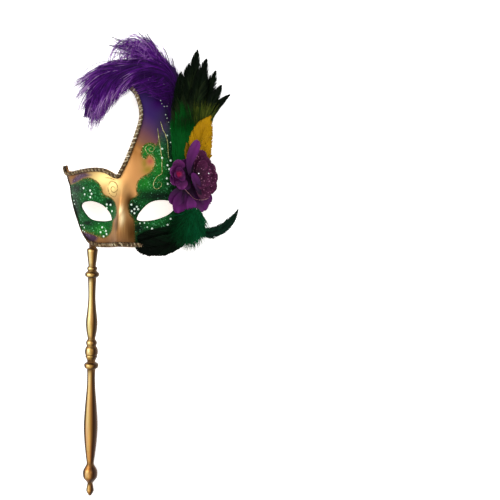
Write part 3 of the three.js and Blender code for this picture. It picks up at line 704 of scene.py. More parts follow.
plumeForm = {
    "shaft": [(44, 90, 28.5), (51, 108, 28.5), (53, 124, 30), (47, 140, 33), (34, 149, 35), (15, 151, 36),
              (-5, 146, 36), (-21, 137, 36), (-33, 124, 35), (-39, 110, 33), (-41, 97, 31)],
    "rising": [  # place on the shaft, tip, bow, spread at the tip, strands
        (0.03, (51, 108, 32), -0.04, 3, 60), (0.07, (47, 117, 34), -0.06, 4, 70),
        (0.11, (39, 124, 35), -0.1, 5, 70), (0.17, (28, 126, 35), -0.12, 8, 80),
        (0.14, (56, 132, 29), 0.08, 3, 60), (0.19, (54, 142, 30), 0.06, 4, 70),
        (0.24, (21, 128, 36), -0.15, 8, 80), (0.23, (47, 151, 32), 0.05, 4, 70),
        (0.26, (38, 160, 33), 0.04, 4, 70), (0.29, (28, 170, 34), 0.04, 4, 60),
        (0.33, (17, 183, 34), 0.04, 5, 40), (0.33, (12, 128, 36.5), -0.1, 6, 70),
        (0.36, (2, 175, 34), 0.14, 7, 16), (0.38, (-16, 175, 34), 0.12, 7, 16)],
    "drooping": [  # the same columns
        (0.36, (-18, 152, 36), 0.06, 4, 45), (0.42, (-35, 146.5, 36), 0.11, 5, 50),
        (0.46, (-50, 138.5, 36), 0.17, 5, 55), (0.48, (-57, 130, 35.5), 0.2, 5, 60),
        (0.5, (-55, 118, 35), 0.25, 5, 70), (0.52, (-50, 105, 34), 0.28, 5, 75),
        (0.52, (-42, 88, 33), 0.28, 4, 75), (0.5, (-38, 85, 33.5), 0.3, 3, 75),
        (0.47, (-30, 94, 35), 0.35, 4, 75), (0.44, (-24, 103, 36), 0.37, 3, 75),
        (0.4, (-18, 111, 36.5), 0.37, 3, 75), (0.36, (-13, 119, 37), 0.34, 3, 75),
        (0.32, (-6, 127, 37), 0.28, 3, 75)],
    "strays": [  # single barbs that stand off the crown: place on the shaft, tip, bow
        (0.42, (-22.6, 183, 34), 0.12), (0.41, (-19, 180, 34), 0.14), (0.43, (-24.6, 175.4, 34), 0.14),
        (0.44, (-17.4, 166.2, 34), 0.18), (0.36, (7.8, 189.7, 34), 0.06), (0.35, (11, 186.5, 34), 0.05),
        (0.33, (19.9, 187.3, 34), 0.05), (0.33, (21, 183, 34), 0.05), (0.28, (38.9, 170.5, 33), 0.04),
        (0.41, (-8.9, 179.1, 34), 0.14), (0.4, (-4, 181, 34), 0.12), (0.24, (47, 160, 32), 0.05)],
    "locks": {"along": 0.03, "bundle": 0.7, "reach": (0.7, 1.08), "bow": 0.07, "wave": 1.8,
              "tone": (0.05, 0.55)},
    "curls": {"strands": 340, "place": (0.27, 0.44), "up": (14, 44), "over": (8, 38), "down": (0.35, 0.85),
              "width": 0.55, "stray": 3.5, "tone": (0.3, 0.9)},
    "wisps": {"strands": 90, "grow": (1.03, 1.15), "stray": 4, "bow": 0.05, "wave": 2.5, "width": 0.45,
              "strayWidth": 0.9, "strayWave": 1.2, "tone": (0.1, 0.5)},
    "gloss": {"strands": 240, "lift": 3.2, "stray": 3.5, "bow": 0.03, "wave": 1.6, "width": 0.55,
              "tone": (0.65, 1.05)},
    "flow": {"strands": 900, "start": (0.02, 0.86), "reach": (0.16, 0.36), "aside": 10, "deep": 4.0,
             "tone": (0, 0.5)},
    "rootShade": (0.02, 0.24, 0.2),  # the roots lie in the shade of the fan: from, to, tone at the root
    "quill": (3.0, 0.8, 40), "facing": (0.2, 0.1, 1.0), "width": 0.85, "steps": 10, "seed": 11,
}


def bowedStrands(roots, tips, bows, steps, wave, rng):
    # strands that bend sideways in plan, with a light wave that grows towards the tip
    across = np.stack([tips[:, 1] - roots[:, 1], roots[:, 0] - tips[:, 0], np.zeros(len(tips))], 1)
    middle = (roots + tips) / 2 + across * bows[:, None]
    share = np.linspace(0, 1, steps)[None, :, None]
    paths = (roots[:, None] * (1 - share) ** 2 + 2 * middle[:, None] * share * (1 - share)
             + tips[:, None] * share ** 2)
    phase, pace = rng.uniform(0, 6.3, (len(tips), 1)), rng.uniform(3, 7, (len(tips), 1))
    sway = np.sin(phase + pace * share[..., 0]) * share[..., 0] * wave
    lift = np.cos(phase * 1.7 + pace * share[..., 0]) * share[..., 0] * wave * 0.6
    paths = paths + unit(across)[:, None] * sway[..., None]
    paths[..., 2] += lift
    return paths


def taper(count, steps, width, rng, full=0.75):
    share = np.linspace(0, 1, steps)
    shape = np.clip((1 - share) / (1 - full), 0.06, 1) * (0.7 + 0.3 * np.minimum(share * 6, 1))
    return rng.uniform(0.75, 1.2, (count, 1)) * width * shape[None]


def cubicStrands(first, second, third, fourth, steps):
    share = np.linspace(0, 1, steps)[None, :, None]
    return (first[:, None] * (1 - share) ** 3 + 3 * second[:, None] * share * (1 - share) ** 2
            + 3 * third[:, None] * share ** 2 * (1 - share) + fourth[:, None] * share ** 3)


def columns(rows):
    # place on the shaft, tip and bow of each row
    return (np.array(column, float) for column in list(zip(*rows))[:3])


def buildPlume(material):
    form, rng = plumeForm, np.random.default_rng(plumeForm["seed"])
    shaft = curveThrough(form["shaft"], 24)
    steps, groups = form["steps"], []
    share = np.linspace(0, 1, steps)[None]
    facing = np.array([form["facing"]])

    def spanAt(places):
        return np.stack([np.interp(places, np.linspace(0, 1, len(shaft)), shaft[:, k]) for k in range(3)], -1)

    def rootShade(places):
        start, end, least = form["rootShade"]
        return least + (1 - least) * ease(start, end, places)

    locks = form["locks"]
    for place, tip, bow, spread, count in form["rising"] + form["drooping"]:
        roots = spanAt(np.clip(place + rng.normal(0, locks["along"], count), 0, 0.99))
        roots = roots + rng.normal(0, locks["bundle"], (count, 3)) * (1, 1, 1.6)
        reach = rng.uniform(*locks["reach"], (count, 1))
        tips = roots + (np.array(tip) - roots) * reach + rng.normal(0, spread / 2, (count, 3)) * (1, 1, 0.7)
        paths = bowedStrands(roots, tips, bow + rng.normal(0, locks["bow"], count), steps, locks["wave"], rng)
        shade = (rng.uniform(*locks["tone"], (count, 1)) ** 1.2 + 0.3 * share ** 2) * rootShade(place)
        groups.append((paths, taper(count, steps, form["width"], rng), facing, 0.4, shade))
    # hooked barbs of the upper lobe: up from the shaft, over to the left and down again
    curls = form["curls"]
    count = curls["strands"]
    roots = spanAt(rng.uniform(*curls["place"], count)) + rng.normal(0, 0.8, (count, 3))
    rise, over, drop = (rng.uniform(*curls[k], (count, 1)) for k in ("up", "over", "down"))
    drop = (drop + 0.45 * ease(12, 28, over)) * rise  # the long ones come down to the arch again
    crown = roots + rise * (-0.42, 0.9, 0) + rng.normal(0, curls["stray"], (count, 3)) * (1, 1, 0.3)
    beyond = crown + over * (-1, 0.12, 0) + rng.normal(0, curls["stray"], (count, 3)) * (1, 1, 0.3)
    ends = beyond + np.concatenate([over * 0.1, -drop, 0 * drop], 1)
    hooks = cubicStrands(roots, crown, beyond, ends, steps)
    hooks[..., 2] += rng.normal(0, 2.0, (count, 1)) * share
    groups.append((hooks, taper(count, steps, curls["width"], rng), facing, 0.5,
                   rng.uniform(*curls["tone"], (count, 1)) + 0.15 * share))
    # thin wisps that stand out past the locks
    wisps = form["wisps"]
    count = wisps["strands"]
    fringe = [row for row in form["rising"] if row[0] > 0.25] + form["drooping"]
    places, tips, bows = columns([fringe[k] for k in rng.integers(0, len(fringe), count)])
    roots = spanAt(places + rng.normal(0, 0.02, count))
    tips = tips + rng.normal(0, wisps["stray"], (count, 3)) * (1, 1, 0.5)
    tips = roots + (tips - roots) * rng.uniform(*wisps["grow"], (count, 1))
    paths = bowedStrands(roots, tips, bows + rng.normal(0, wisps["bow"], count), steps, wisps["wave"], rng)
    groups.append((paths, taper(count, steps, wisps["width"], rng), facing, 0.6,
                   rng.uniform(*wisps["tone"], (count, 1)) + 0.1 * share))
    places, tips, bows = columns(form["strays"])
    paths = bowedStrands(spanAt(places), tips, bows, steps, wisps["strayWave"], rng)
    groups.append((paths, taper(len(paths), steps, wisps["strayWidth"], rng, 0.9), facing, 0.6,
                   np.full((len(paths), steps), 0.1)))
    # body of the feather: barbs that flow along the shaft
    flow = form["flow"]
    count = flow["strands"]
    start = rng.uniform(*flow["start"], count)
    end = np.minimum(start + rng.uniform(*flow["reach"], count), 1.0)
    aside = rng.uniform(-1, 1, count) * flow["aside"]
    off = np.linspace(0, 1, steps)[:, None] ** 1.2
    lines = []
    for k in range(count):
        line = spanAt(np.linspace(start[k], end[k], steps))
        along = unit(np.gradient(line, axis=0))
        line = line + np.stack([along[:, 1], -along[:, 0], np.zeros(steps)], 1) * aside[k] * off
        line[:, 2] += rng.uniform(-0.5, 1) * flow["deep"] * np.sin(off[:, 0] * 2.6)
        lines.append(line)
    shade = (rng.uniform(*flow["tone"], (count, 1)) + 0.25 * share ** 2) * rootShade(start[:, None])
    groups.append((np.array(lines), taper(count, steps, form["width"], rng), facing, 0.4, shade))
    # pale barbs that catch the light, lying over the droop
    gloss = form["gloss"]
    count = gloss["strands"]
    droop = form["drooping"]
    places, tips, bows = columns([droop[k] for k in rng.integers(0, len(droop), count)])
    roots = spanAt(places - rng.uniform(-0.1, 0.1, count))
    tips = tips + rng.normal(0, gloss["stray"], (count, 3)) * (1, 1, 0.3)
    roots[:, 2] += gloss["lift"]
    tips[:, 2] += gloss["lift"] * 0.8
    paths = bowedStrands(roots, tips, bows + rng.normal(0, gloss["bow"], count), steps, gloss["wave"], rng)
    lit = np.interp(share, [0, 0.5, 0.8, 1], [0.15, 0.35, 1, 1])
    groups.append((paths, taper(count, steps, gloss["width"], rng), facing, 0.6,
                   rng.uniform(*gloss["tone"], (count, 1)) * lit))
    count = form["quill"][2]
    groups.append((evenly(shaft, count)[None], np.linspace(*form["quill"])[None], facing, 0.8,
                   np.zeros((1, count))))
    mesh = strandMesh("ostrich_barbs", groups)
    return addPiece("ostrich_feather", mesh, [material], ["ostrich_plume"])


buildPlume(featherMaterial("dyed_ostrich_barbs", [(0, "170028"), (0.35, "340454"), (0.6, "520a7a"),
                                                  (0.8, "8440a8"), (1, "cda6dc")], 0.42, 0.1))


# Vaned feathers: barbs laid side by side along a quill

vaneForm = {
    "span": (0.03, 0.985), "stray": 0.003, "straighten": 0.35, "leastHalf": 0.5, "clump": 6, "steps": 5,
    "layer": 1.1, "lift": 0.12, "uneven": 0.12, "arch": 0.5, "flatness": 0.14, "ragged": 1.06,
    "quill": (1.3, 0.35, 24), "quillLift": 0.35,  # width at the root and the tip, steps
}


def bladeShape(share, swell, blunt):
    return np.maximum(np.sin(np.pi * np.clip(share, 0, 1) ** swell), 0) ** blunt


def vaneGroups(blade, fan, rng, shadeOf, barb, gap, lean, ragged, swell, blunt, quill=0.1, end=0.2):
    # blade is root, bend, tip, width and layer in the plan of its fan; fan() gives points in the mask frame
    root, bend, tip, width, layer = blade
    form, ends, groups = vaneForm, (root, bend, tip), []
    count = int(pathLength(bezier(ends, np.linspace(0, 1, 30))) / gap)
    clumps = np.arange(0, count + form["clump"], form["clump"])  # barbs hang together in clumps
    share = np.linspace(0, 1, form["steps"])[None]
    middle, bed = form["steps"] // 2, layer * form["layer"]
    for hand in (-1, 1):
        start = np.clip(np.linspace(*form["span"], count) + rng.normal(0, form["stray"], count), 0, 0.99)
        finish = np.minimum(start + lean * (1 - form["straighten"] * start), 1.0)
        clump = np.interp(np.arange(count), clumps, rng.uniform(1 - ragged, form["ragged"], len(clumps)))
        half = width / 2 * bladeShape(finish, swell, blunt) * clump * rng.uniform(0.9, 1.05, count)
        half = np.maximum(half, form["leastHalf"])
        at = start[:, None] + (finish - start)[:, None] * share ** 0.8
        ahead = unit(bezier(ends, np.minimum(at + 0.01, 1.01)) - bezier(ends, at - 0.01))
        aside = np.stack([ahead[..., 1], -ahead[..., 0]], -1) * hand
        plan = bezier(ends, at) + aside * (half[:, None] * share ** 0.9)[..., None]
        above = bed + form["lift"] + rng.normal(0, form["uneven"], (count, 1))
        above = above + form["arch"] * share * (1 - share)
        paths = fan(plan[..., 0], plan[..., 1], above)
        widths = barb * rng.uniform(0.8, 1.15, (count, 1)) * np.interp(share, [0, 0.6, 1], [1, 0.85, end])
        shade = shadeOf(start[:, None] + 0 * share, share, rng.uniform(-1, 1, (count, 1)))
        over = fan(plan[:, middle, 0], plan[:, middle, 1], above[:, 0] + 1.0) - paths[:, middle]
        groups.append((paths, widths, over, form["flatness"], shade))
    line = bezier(ends, np.linspace(0, 0.97, form["quill"][2]))
    stem = fan(line[:, 0], line[:, 1], bed + form["quillLift"])
    up = fan(line[:, 0], line[:, 1], bed + form["quillLift"] + 1) - stem
    groups.append((stem[None], np.linspace(*form["quill"])[None], up[None], 0.8,
                   np.full((1, len(line)), quill)))
    return groups


coqueForm = {
    "blades": [  # root, bend, tip, width, layer in the nest
        ((-6, -4), (-9, 50), (-8, 110), 19, 0), ((-3, -5), (-5, 55), (0, 119), 20, 1),
        ((0, -6), (-1, 60), (7.6, 133), 21, 2), ((3, -5), (4, 55), (17, 124), 21, 3),
        ((6, -4), (10, 48), (28, 112), 20, 0), ((9, -3), (11, 46), (33, 97), 16, 2),
        ((10, -2), (13, 62), (41, 87), 10, 1)],
    "bed": (0.7, 0.0008, 0.0115),  # height in the nest, and how the fan bends up along it and to its right
    "vane": {"barb": 1.9, "gap": 0.85, "lean": 0.17, "ragged": 0.14, "swell": 1.3, "blunt": 0.55},
    "down": {"strands": 1100, "across": (-10, 8), "along": (-8, 22), "reach": (16, 64), "lift": 4.6,
             "width": 1.1, "steps": 6},
    "seed": 23,
}


def crestFan(x, y, above):
    lift, along, aside = coqueForm["bed"]
    height = lift + above + along * y ** 2 + aside * np.maximum(x, 0) ** 2
    return fromNest(np.stack([x, y, height + 0 * x], -1))


def coqueShade(at, out, chance):
    # bright green near the root, black from a third of the way up, with a painted olive sheen beside the quill
    sheen = 0.32 * (1 - out) * ease(0.3, 0.5, at) * ease(0.95, 0.7, at)
    return np.clip(1.9 - 3 * at + 0.1 * chance, 0.06, 1) + sheen + 0.45 * np.maximum(chance - 0.6, 0)


def buildCoque(material):
    form, rng = coqueForm, np.random.default_rng(coqueForm["seed"])
    groups = []
    for blade in form["blades"]:
        groups += vaneGroups(blade, crestFan, rng, coqueShade, **form["vane"])
    # green down round the roots, over the flat vanes
    down = form["down"]
    count, steps = down["strands"], down["steps"]
    x = rng.uniform(*down["across"], count)
    y = rng.uniform(*down["along"], count)
    aside = x + rng.normal(0, 4, count) + 0.12 * x
    top = y + rng.uniform(*down["reach"], count) * (1 - 0.25 * (y > 10))
    share = np.linspace(0, 1, steps)[None]
    grow = share[..., None]
    plan = np.stack([x, y], 1)[:, None] * (1 - grow) + np.stack([aside, top], 1)[:, None] * grow
    plan[..., 0] += np.sin(rng.uniform(0, 6, (count, 1)) + share * 5) * share * 1.6
    above = down["lift"] + rng.uniform(-0.5, 1.6, (count, 1)) + 0 * share
    paths = crestFan(plan[..., 0], plan[..., 1], above)
    shade = np.clip(1.05 - 0.85 * ease(42, 70, plan[..., 1]) + rng.normal(0, 0.12, (count, 1)), 0.05, 1)
    groups.append((paths, taper(count, steps, down["width"], rng, 0.5), nestUp, 0.3, shade))
    return addPiece("coque_feathers", strandMesh("coque_barbs", groups), [material],
                    [f"coque_feather_{k + 1}" for k in range(len(form["blades"]))])


buildCoque(featherMaterial("dyed_coque_vanes", [(0, "010501"), (0.22, "020c02"), (0.42, "18210e"),
                                                (0.6, "033309"), (0.8, "014611"), (1, "05521b")], 0.55, 0.04))

yellowForm = {
    "blades": [  # blade in the nest, shade
        (((13, 8), (11, 43), (25.5, 65), 24, 0), 0.45), (((12, 12), (18, 21), (26.5, 23.5), 10, 1), 0.35),
        (((13, 8), (22, 26), (22, 48), 14, 0), 0.45), (((8, 10), (3, 24), (-1, 36), 12, 1), 0.0)],
    "bed": (7.3, 0.0008, 0.0063),  # height in the nest, and how it bends up along it and to its sides
    "vane": {"barb": 3.2, "gap": 0.8, "lean": 0.34, "ragged": 0.05, "swell": 1.1, "blunt": 0.9,
             "quill": 0.42},
    "seed": 5,
}


def yellowFan(x, y, above):
    lift, along, aside = yellowForm["bed"]
    return fromNest(np.stack([x, y, lift + above + along * y ** 2 + aside * x ** 2 + 0 * x], -1))


def buildYellow(material):
    rng = np.random.default_rng(yellowForm["seed"])
    groups = []
    for blade, tone in yellowForm["blades"]:
        groups += vaneGroups(blade, yellowFan, rng, lambda at, out, chance: tone + 0.12 * out + 0.07 * chance,
                             **yellowForm["vane"])
    mesh = strandMesh("yellow_barbs", groups)
    return addPiece("yellow_plume", mesh, [material], ["yellow_feather"])


buildYellow(featherMaterial("dyed_yellow_vane", [(0, "5c4002"), (0.3, "8e6602"), (0.6, "a87c02"),
                                                 (1, "b88c10")], 0.7, 0.08))

tuftForm = {
    "strands": 170, "root": ((9, 23), (54, 64)), "reach": (10, 22), "middle": 15, "half": 7, "fan": 0.35,
    "stray": 0.16, "lift": 3.5, "width": 0.8, "steps": 5, "seed": 6,
}


def buildTuft(material):
    # stiff olive barbs that stand up between the yellow feather and the fan
    form, rng = tuftForm, np.random.default_rng(tuftForm["seed"])
    count, steps = form["strands"], form["steps"]
    across, up = (rng.uniform(*span, count) for span in form["root"])
    reach = rng.uniform(*form["reach"], count)
    lean = (across - form["middle"]) / form["half"] * form["fan"] + rng.normal(0, form["stray"], count)
    share = np.linspace(0, 1, steps)[None]
    x = across[:, None] + (reach * np.sin(lean))[:, None] * share
    y = up[:, None] + (reach * np.cos(lean))[:, None] * share
    paths = crestFan(x, y, form["lift"] + rng.uniform(0, 0.6, (count, 1)))
    shade = rng.uniform(0.1, 0.8, (count, 1)) + 0.3 * share
    groups = [(paths, taper(count, steps, form["width"], rng, 0.3), nestUp, 0.4, shade)]
    return addPiece("olive_tuft", strandMesh("olive_barbs", groups), [material])


buildTuft(featherMaterial("dyed_olive_barbs", [(0, "0c1a03"), (0.4, "1c2e06"), (0.75, "36400e"),
                                               (1, "5c6420")], 0.6, 0.06))


# Dark feathers that sweep over the cheek, and the one that curls out to the right

cheekForm = {
    "blades": {"cheek_feather_1": ((70, -12), (42, -28), (13, -30), 13.5, 0),
               "cheek_feather_2": ((70, -18), (49, -41.6), (12.5, -39.4), 19.5, 1)},
    "vane": {"barb": 2.2, "gap": 0.7, "lean": 0.3, "ragged": 0.02, "swell": 1.5, "blunt": 0.5, "end": 0.8},
    "clear": 3.55, "seed": 31,
}
curlForm = {
    "blade": ((67, -17), (97, -36), (115.5, 1), 15, 0),
    "bed": (25.9, 71, 0.2),  # height, and from which x on it falls by which share
    "vane": {"barb": 1.8, "gap": 0.9, "lean": 0.2, "ragged": 0.3, "swell": 0.95, "blunt": 0.75}, "seed": 37,
}


def cheekFan(x, y, above):
    radius = shellForm["templeRadius"]
    height = shellForm["browHeight"] - wrapBack(x) - cheekSlope(y)
    return np.stack([x, y, height + (cheekForm["clear"] + above) * radius / (radius - wrapBack(x))], -1)


def curlFan(x, y, above):
    lift, start, fall = curlForm["bed"]
    return np.stack([x, y, lift - (x - start) * fall + above + 0 * x], -1)


def darkShade(at, out, chance):
    return np.clip(0.5 - 0.45 * at + 0.08 * chance, 0.02, 1)


def buildCheek(material):
    rng = np.random.default_rng(cheekForm["seed"])
    groups = []
    for blade in cheekForm["blades"].values():
        groups += vaneGroups(blade, cheekFan, rng, darkShade, **cheekForm["vane"])
    mesh = strandMesh("cheek_barbs", groups)
    return addPiece("cheek_feathers", mesh, [material], list(cheekForm["blades"]))


def buildCurl(material):
    rng = np.random.default_rng(curlForm["seed"])
    groups = vaneGroups(curlForm["blade"], curlFan, rng,
                        lambda at, out, chance: 0.5 - 0.25 * at + 0.1 * chance, **curlForm["vane"])
    return addPiece("curled_feather", strandMesh("curl_barbs", groups), [material], ["curl_feather"])


buildCheek(featherMaterial("dyed_black_green_vanes", [(0, "010401"), (0.3, "020a03"), (0.6, "03200c"),
                                                      (1, "05401a")],
                           0.55, 0.04))
buildCurl(featherMaterial("dyed_curl_vane", [(0, "020c06"), (0.4, "042014"), (0.7, "083c26"),
                                             (1, "165a3e")], 0.5, 0.06))


# Marabou puff

puffForm = {
    "core": (70.5, -10, 33), "spread": (10.5, 13.5), "dome": 7, "tilt": 5, "uneven": 1.2,
    "facing": (0.3, 0, 1.0),
    "strands": 3300, "length": (8, 25), "steps": 6, "width": 0.75, "paler": (45, 30), "seed": 41,
    "lean": (-113, 27), "shake": 15,  # degrees: how the down lies in the middle, its fan, its disorder
}


def buildPuff(material):
    form, rng = puffForm, np.random.default_rng(puffForm["seed"])
    count, steps = form["strands"], form["steps"]
    spot, out = rng.uniform(0, 2 * math.pi, count), np.sqrt(rng.uniform(0, 1, count))
    across, along = out * np.cos(spot), out * np.sin(spot)
    rise = form["dome"] * (1 - out ** 2)
    rise = rise - form["tilt"] * across + rng.normal(0, form["uneven"], count)
    roots = np.array(form["core"]) + np.stack([across * form["spread"][0], along * form["spread"][1], rise], 1)
    lie = np.radians(form["lean"][0] + form["lean"][1] * across + rng.normal(0, form["shake"], count))
    length = rng.uniform(*form["length"], count) * (1 - 0.35 * np.maximum(across, 0))
    tips = roots + np.stack([np.cos(lie), np.sin(lie), rng.normal(-0.12, 0.12, count)], 1) * length[:, None]
    paths = bowedStrands(roots, tips, rng.normal(0.04, 0.1, count), steps, 1.5, rng)
    share = np.linspace(0, 1, steps)[None]
    start, run = form["paler"]  # the down is paler to the right
    lit = np.clip((paths[..., 0] - start) / run, 0, 1)
    shade = 0.1 + 0.55 * lit + rng.normal(0, 0.1, (count, 1)) + 0.1 * share
    groups = [(paths, taper(count, steps, form["width"], rng, 0.4), np.array([form["facing"]]), 0.5,
               np.clip(shade, 0, 1))]
    mesh = strandMesh("marabou_barbs", groups)
    return addPiece("marabou_down", mesh, [material], ["marabou_puff"])


buildPuff(featherMaterial("dyed_marabou_down", [(0, "010e04"), (0.3, "02280f"), (0.6, "034421"),
                                                (1, "09623a")], 0.7, 0.04))


# Cloth flower

flowerForm = {
    # root, bend and tip in the nest, width, cup, ruffle, shoulder, tone
    # a petal lies along its curve and cups towards its edges
    "flower_petals": [
        ((2, 2, 12), (-7, 16, 17.5), (10.4, 38.5, 14.5), 11.8, 0.14, 0.5, 0.82, 0.05),
        ((13.5, -20.5, 14), (6.5, -7, 18), (4, 5, 13.2), 9.5, 0.2, 0.3, 0.66, -0.2),
        ((-3, -12, 9), (-10, -24, 12.5), (-12, -37, 9), 19, 0.08, 0.7, 0.62, 0.1),
        ((-2, -12, 9.2), (-13, -17, 11.5), (-19, -28, 8.8), 18, 0.12, 0.6, 0.6, -0.2),
        ((0, -19, 13), (0, -27, 19.5), (0.5, -35, 14), 12, 0.16, 0.3, 0.55, 0.28),
        ((7, -14, 9.5), (15, -24, 13), (20, -35, 9), 18, 0.08, 0.7, 0.62, -0.05),
        ((9, -12, 9.5), (18, -20, 12), (27.5, -27, 9), 15, 0.1, 0.8, 0.6, -0.15),
        # the low petals below, under the others, are darker: painted shade between the petals; the last fills
        # the hollow heart of the rose with near-black
        ((8, 4, 9), (20, 7, 9.5), (28, 6, 12.5), 20, 0.06, 1.0, 0.6, -0.3),
        ((8, 4, 9), (20, -3, 9.5), (29, -11, 12.5), 23, 0.06, 1.0, 0.6, -0.3),
        ((6, 5, 10), (4, 16, 11), (12, 27, 13), 17, 0.1, 0.8, 0.6, -0.3),
        ((3, 0, 7), (-3, 10, 9), (-4, 19, 9.5), 15, 0.1, 0.5, 0.6, -0.4),
        ((4, 2, 8), (-4, -4, 10), (-8, -12, 10.5), 16, 0.1, 0.5, 0.6, -0.35),
        ((6, -6, 8.8), (4, -16, 10.2), (6, -32, 9.2), 26, 0.04, 0.6, 0.65, -0.4),
        ((2, 6, 9.2), (7, 6, 9.8), (14, 5, 10), 15, 0.05, 0.3, 0.5, -0.9)],
    "glitter_petals": [
        ((8, 6, 10.5), (11, 18, 12), (16.5, 28, 15.5), 14, 0.1, 0.8, 0.7, 0),
        ((9, 6, 10.7), (17, 14, 11.5), (22.8, 19.5, 16), 15, 0.1, 0.9, 0.7, 0.05),
        ((9, 6, 10.9), (21, 8, 11.7), (30, 6.5, 16), 18, 0.1, 0.9, 0.7, -0.05),
        ((9, 5, 11.1), (21, 1, 11.9), (31.5, -4, 16.2), 19, 0.1, 0.9, 0.7, 0.05),
        ((9, 5, 11.3), (20, -6, 12.1), (28.5, -15, 16), 18, 0.1, 0.9, 0.7, 0),
        ((8, 4, 11.5), (14, -10, 12.5), (18.5, -23, 15.5), 17, 0.1, 0.8, 0.7, 0.05),
        ((9, 6, 12.2), (13, 12, 13), (19, 16, 17.5), 13, 0.16, 0.7, 0.6, 0.1),
        ((9, 5.5, 12.4), (17, 7, 13), (24, 5.5, 17.8), 14, 0.16, 0.7, 0.6, 0),
        ((9, 5, 12.6), (16, -2, 13.2), (22, -8, 17.6), 14, 0.16, 0.7, 0.6, 0.1),
        ((8.5, 4.5, 12.8), (11, -4, 13.6), (14.5, -12, 17), 11, 0.16, 0.6, 0.6, 0)],
    "small_blossom": [
        ((-11, 3, 8.5), (-13, 12, 10), (-12.6, 18.5, 13), 15, 0.2, 0.6, 0.58, 0),
        ((-11, 3, 8.5), (-18, 6, 10), (-22.4, 5.4, 13), 15, 0.2, 0.6, 0.58, 0.05),
        ((-11, 3, 8.5), (-17, -2, 10), (-19.5, -7.5, 13), 14, 0.2, 0.6, 0.58, -0.05),
        ((-11, 3, 8.5), (-9, -5, 10), (-9, -12.5, 13), 15, 0.2, 0.6, 0.58, 0),
        # this petal is darker: painted shade on the right side of the blossom
        ((-11, 3, 8.7), (-7, 4, 10), (-5, 5, 12.5), 12, 0.2, 0.5, 0.58, -0.4),
        ((-11.2, 3, 9.5), (-12, 8, 11), (-11, 10.5, 14.5), 9, 0.3, 0.4, 0.58, -0.2),
        ((-11.2, 3, 9.5), (-15, 2, 11), (-17, 0, 14.5), 9, 0.3, 0.4, 0.58, -0.2),
        ((-11, 3, 9.5), (-8.5, 0, 11), (-7.5, -3.5, 14.5), 8, 0.3, 0.4, 0.58, -0.2)],
    "cells": (20, 14), "cloth": 0.45, "seed": 53,
    "stones": [(10.6, 4.2, 14.2), (21.4, 4.3, 16.6)], "stoneRadius": 0.85,
    "piping": [(-6, -11.1, 13), (-0.4, -17.3, 14.2), (5.3, -22.2, 15.2), (13, -23.4, 16.6),
               (21.4, -21.4, 16.8)],
    "pipingWidth": 0.5, "pipingSteps": 50,
}


def petalShape(along, shoulder):
    # narrow claw, broad shoulder, round end
    end = np.sqrt(np.maximum(1 - ((along - shoulder) / (1.01 - shoulder)) ** 2, 0.004))
    return np.where(along < shoulder, 0.3 + 0.7 * ease(-0.05, shoulder, along), end)


def buildPetals(name, material, node, teeth=0.0):
    form = flowerForm
    rng = np.random.default_rng(form["seed"] + len(name))
    bm = bmesh.new()
    shadeAt = []
    for root, bend, tip, width, cup, ruffle, shoulder, tone in form[name]:
        grid = bmesh.ops.create_grid(bm, x_segments=form["cells"][0], y_segments=form["cells"][1],
                                     size=0.5)["verts"]
        phase, waves = rng.uniform(0, 6.3), rng.uniform(2.2, 3.6)
        plan = np.array([vert.co[:2] for vert in grid])
        along, across = np.clip(plan[:, 0] + 0.5, 0, 1), plan[:, 1] * 2
        ends = (root, bend, tip)
        centre = bezier(ends, along)
        ahead = unit(bezier(ends, along + 0.01) - bezier(ends, along - 0.01))
        side = unit(np.cross(ahead, (0, 0, 1)))
        over = np.cross(side, ahead)
        half = width / 2 * petalShape(along, shoulder) * across
        edge = np.maximum(np.abs(across), along) ** 4
        # pinked edge: every other cell along the rim is drawn in
        cell = np.round(along * form["cells"][0]) + np.round((across + 1) / 2 * form["cells"][1])
        half = half * (1 - teeth * (cell % 2) * (np.abs(across) > 0.99))
        rise = cup * half ** 2 / 4 + ruffle * edge * np.sin(phase + waves * (across * 1.5 + along * 2))
        points = fromNest(centre + side * half[:, None] + over * rise[:, None])
        for vert, point in zip(grid, points):
            vert.co = point
        # the shade mark runs from dark at the root to light at the tip: on the purple and maroon cloth that is
        # painted shade where the petals overlap, on the plum cloth the root is the magenta heart
        shadeAt.append(np.clip(along + tone - 0.06 * np.cos(across * 7 + phase) * along, 0, 1))
    mesh = bmeshToMesh(bm, name + "_cloth")
    addMark(mesh, "shade", np.concatenate(shadeAt))
    piece = addPiece(name, mesh, [material], [node])
    wall = piece.modifiers.new("cloth", "SOLIDIFY")
    wall.thickness = form["cloth"] * 0.001
    wall.offset = 0
    rounded = piece.modifiers.new("soft", "SUBSURF")
    rounded.levels = rounded.render_levels = 1
    return piece


def petalMaterial(name, stops, glitter):
    # dyed polyester petal cloth, pressed: a soft sheen over a fine weave, with or without glued glitter
    material, tree = newMaterial(name)
    place = addNode(tree, "TexCoord")["Object"]
    shade = addNode(tree, "Attribute", attribute_name="shade")["Fac"]
    tone = addNode(tree, "ValToRGB", {"Fac": shade}, stops)[0]
    flake = addNode(tree, "TexVoronoi", {"Vector": place, "Scale": 1000})["Color"]
    chance = addNode(tree, "SeparateColor", {"Color": flake})["Red"]
    sparks = [(0, "16040f"), (0.8, "300a24"), (0.95, "5a2040"), (1, "d08aae")]
    spark = addNode(tree, "ValToRGB", {"Fac": chance}, sparks)[0]
    tone = addNode(tree, "Mix", {0: glitter, 6: tone, 7: spark}, data_type="RGBA")[2]
    # threads 0.25 mm apart would not show, so the weave is drawn at 0.7 mm
    weave = addNode(tree, "TexNoise", {"Vector": place, "Scale": 1400, "Detail": 1})["Fac"]
    bump = addNode(tree, "Bump", {"Height": weave, "Strength": 0.2, "Distance": 0.0003})[0]
    finish = addNode(tree, "BsdfPrincipled", {
        "Base Color": tone, "Normal": bump, "Roughness": 0.55, "Specular IOR Level": 0.12,
        "Sheen Weight": 0.08, "Sheen Roughness": 0.35, "Sheen Tint": colour("a05ab0")})
    addNode(tree, "OutputMaterial", {"Surface": finish[0]})
    return material


